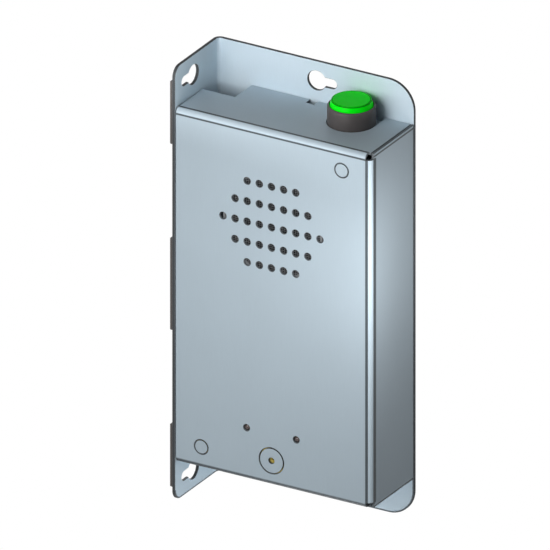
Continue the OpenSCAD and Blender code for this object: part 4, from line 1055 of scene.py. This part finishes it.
pressed = plated("basket_steel", (0.36, 0.38, 0.39), 0.38, 0.55)
dress(pressed, "speaker_frame", "speaker_top_plate", "speaker_yoke")
winding = Finish("winding_copper", Metallic=0.8)
wires = stripes(winding, 1, 0.32)
tint = winding.mix(wires, (0.20, 0.07, 0.03), (0.62, 0.27, 0.12))
winding.coat(tint, 0.28 + wires * 0.1, wires, 0.1)
dress(winding.material, "speaker_voice_coil")
ferrite = Finish("ferrite", Metallic=0.2)
grit, ground = ferrite.noise(0.3, 3), stripes(ferrite, 0, 0.25)
tint = ferrite.mix(grit, (0.018, 0.018, 0.02), (0.05, 0.05, 0.055))
ferrite.coat(tint, 0.5 + grit * 0.25, grit * 0.7 + ground * 0.3, 0.03)
dress(ferrite.material, "speaker_magnet")
dress(brass, "speaker_terminals")
yellow = plated("yellow_zinc", (0.56, 0.46, 0.22), 0.3, 0.7)
dress(yellow, "speaker_studs", "cover_pillar", "cover_nut")
dress(zinc, "speaker_clamps", "speaker_nuts")
soften(0.15, "speaker_clamps", "speaker_nuts", "cover_pillar", "cover_nut")


# ---------------------------------------------------------------- boards
# The main board stands on four pillars on the back plate, and a small board behind
# the cover carries the lamps. Their tracks lie or stand in blocks, with tin joints.
resist = Finish("board", Specular_IOR_Level=0.5)
BLOCK, TRACK_PITCH, JOINT_PITCH, CLOTH_PITCH = 6.5, 1.5, 4.4, 0.6
board_face = resist.stretched((1, 0, 1))


def cells(size, scatter, settings, out):
    """Cells on the board's face, size millimetres across."""
    inputs = {"Vector": board_face, "Scale": 1 / (size * MM), "Randomness": scatter}
    return resist.node("ShaderNodeTexVoronoi", settings, inputs, out)


block = cells(BLOCK, 0.0, {"distance": "CHEBYCHEV"}, "Color").above(0.49, 0.5)
lying, standing = (stripes(resist, axis, TRACK_PITCH).above(0.74, 0.84) for axis in (2, 0))
tracks = block * lying + (1 - block) * standing
spots = cells(JOINT_PITCH, 0.8, {}, "Distance")
joints = 1 - spots.above(0.1, 0.13)
weft_lines = (stripes(resist, 0, CLOTH_PITCH) + stripes(resist, 2, CLOTH_PITCH)) * 0.5
glass = resist.mix(weft_lines * 0.3, (0.008, 0.085, 0.03), (0.015, 0.12, 0.045))
coated = resist.mix(tracks * 0.8, glass, (0.03, 0.21, 0.075))
tinned = resist.mix(joints, coated, (0.55, 0.56, 0.55))
resist.coat(tinned, 0.28 + weft_lines * 0.08, tracks + joints * 2, 0.035)
dress(resist.material, "main_board", "lamp_board")
dress(zinc, "board_standoffs", "board_screws", "terminal_screws")
dress(zinc, "lamp_board_spacers", "lamp_board_screws")
soften(0.15, "board_standoffs")
dress(plastic("terminal_green", (0.025, 0.15, 0.05)).material, "terminal_block")
soften(0.15, "terminal_block")


# ---------------------------------------------------------------- board parts
# What stands on the main board: a laminated line transformer with a taped winding,
# two relays, three capacitors, an amplifier on its heat sink and a controller.
core = Finish("laminations", Metallic=0.6)
plates = stripes(core, 1, 0.5)
tint = core.mix(plates, (0.10, 0.105, 0.11), (0.34, 0.35, 0.36))
core.coat(tint, 0.42 + plates * 0.12, plates, 0.12)
dress(core.material, "line_transformer_core")
tape = Finish("tape_yellow")
wrap, crease = stripes(tape, 1, 2.4), tape.noise(1.5, 3)
tint = tape.mix(wrap * 0.4 + crease * 0.3, (0.58, 0.36, 0.035), (0.42, 0.24, 0.02))
tape.coat(tint, 0.3 + crease * 0.2, wrap * 0.6 + crease * 0.4, 0.08)
dress(tape.material, "line_transformer_coil")
sleeve = Finish("can_sleeve")
band, shrink = stripes(sleeve, 0, 16.0).above(0.93, 0.95), sleeve.noise(1.2, 3)
tint = sleeve.mix(band * 0.6, (0.012, 0.017, 0.06), (0.32, 0.34, 0.38))
sleeve.coat(tint, 0.24 + shrink * 0.12, shrink, 0.03)
dress(sleeve.material, "capacitors")
dress(black.material, "amplifier", "controller")
extruded = Finish("aluminium", Metallic=0.7)
die_lines = extruded.noise(0.15, 2, (1, 0.02, 1))
tint = extruded.mix(die_lines, (0.42, 0.43, 0.45), (0.56, 0.57, 0.59))
extruded.coat(tint, 0.34 + die_lines * 0.14, die_lines, 0.01)
dress(extruded.material, "heat_sink", "microphone_capsule")
for name, tint, gloss, *nodes in (
    ("relay_blue", (0.01, 0.035, 0.17), 0.3, "relays", "volume_trimmers"),
    ("switch_red", (0.32, 0.022, 0.016), 0.42, "address_switch"),
    ("header_white", (0.72, 0.70, 0.62), 0.45, "board_headers"),
):
    dress(plastic(name, tint, gloss).material, *nodes)
    soften(0.18, *nodes)
soften(0.18, "controller", "amplifier")
soften(0.25, "line_transformer_core", "line_transformer_coil", "heat_sink")
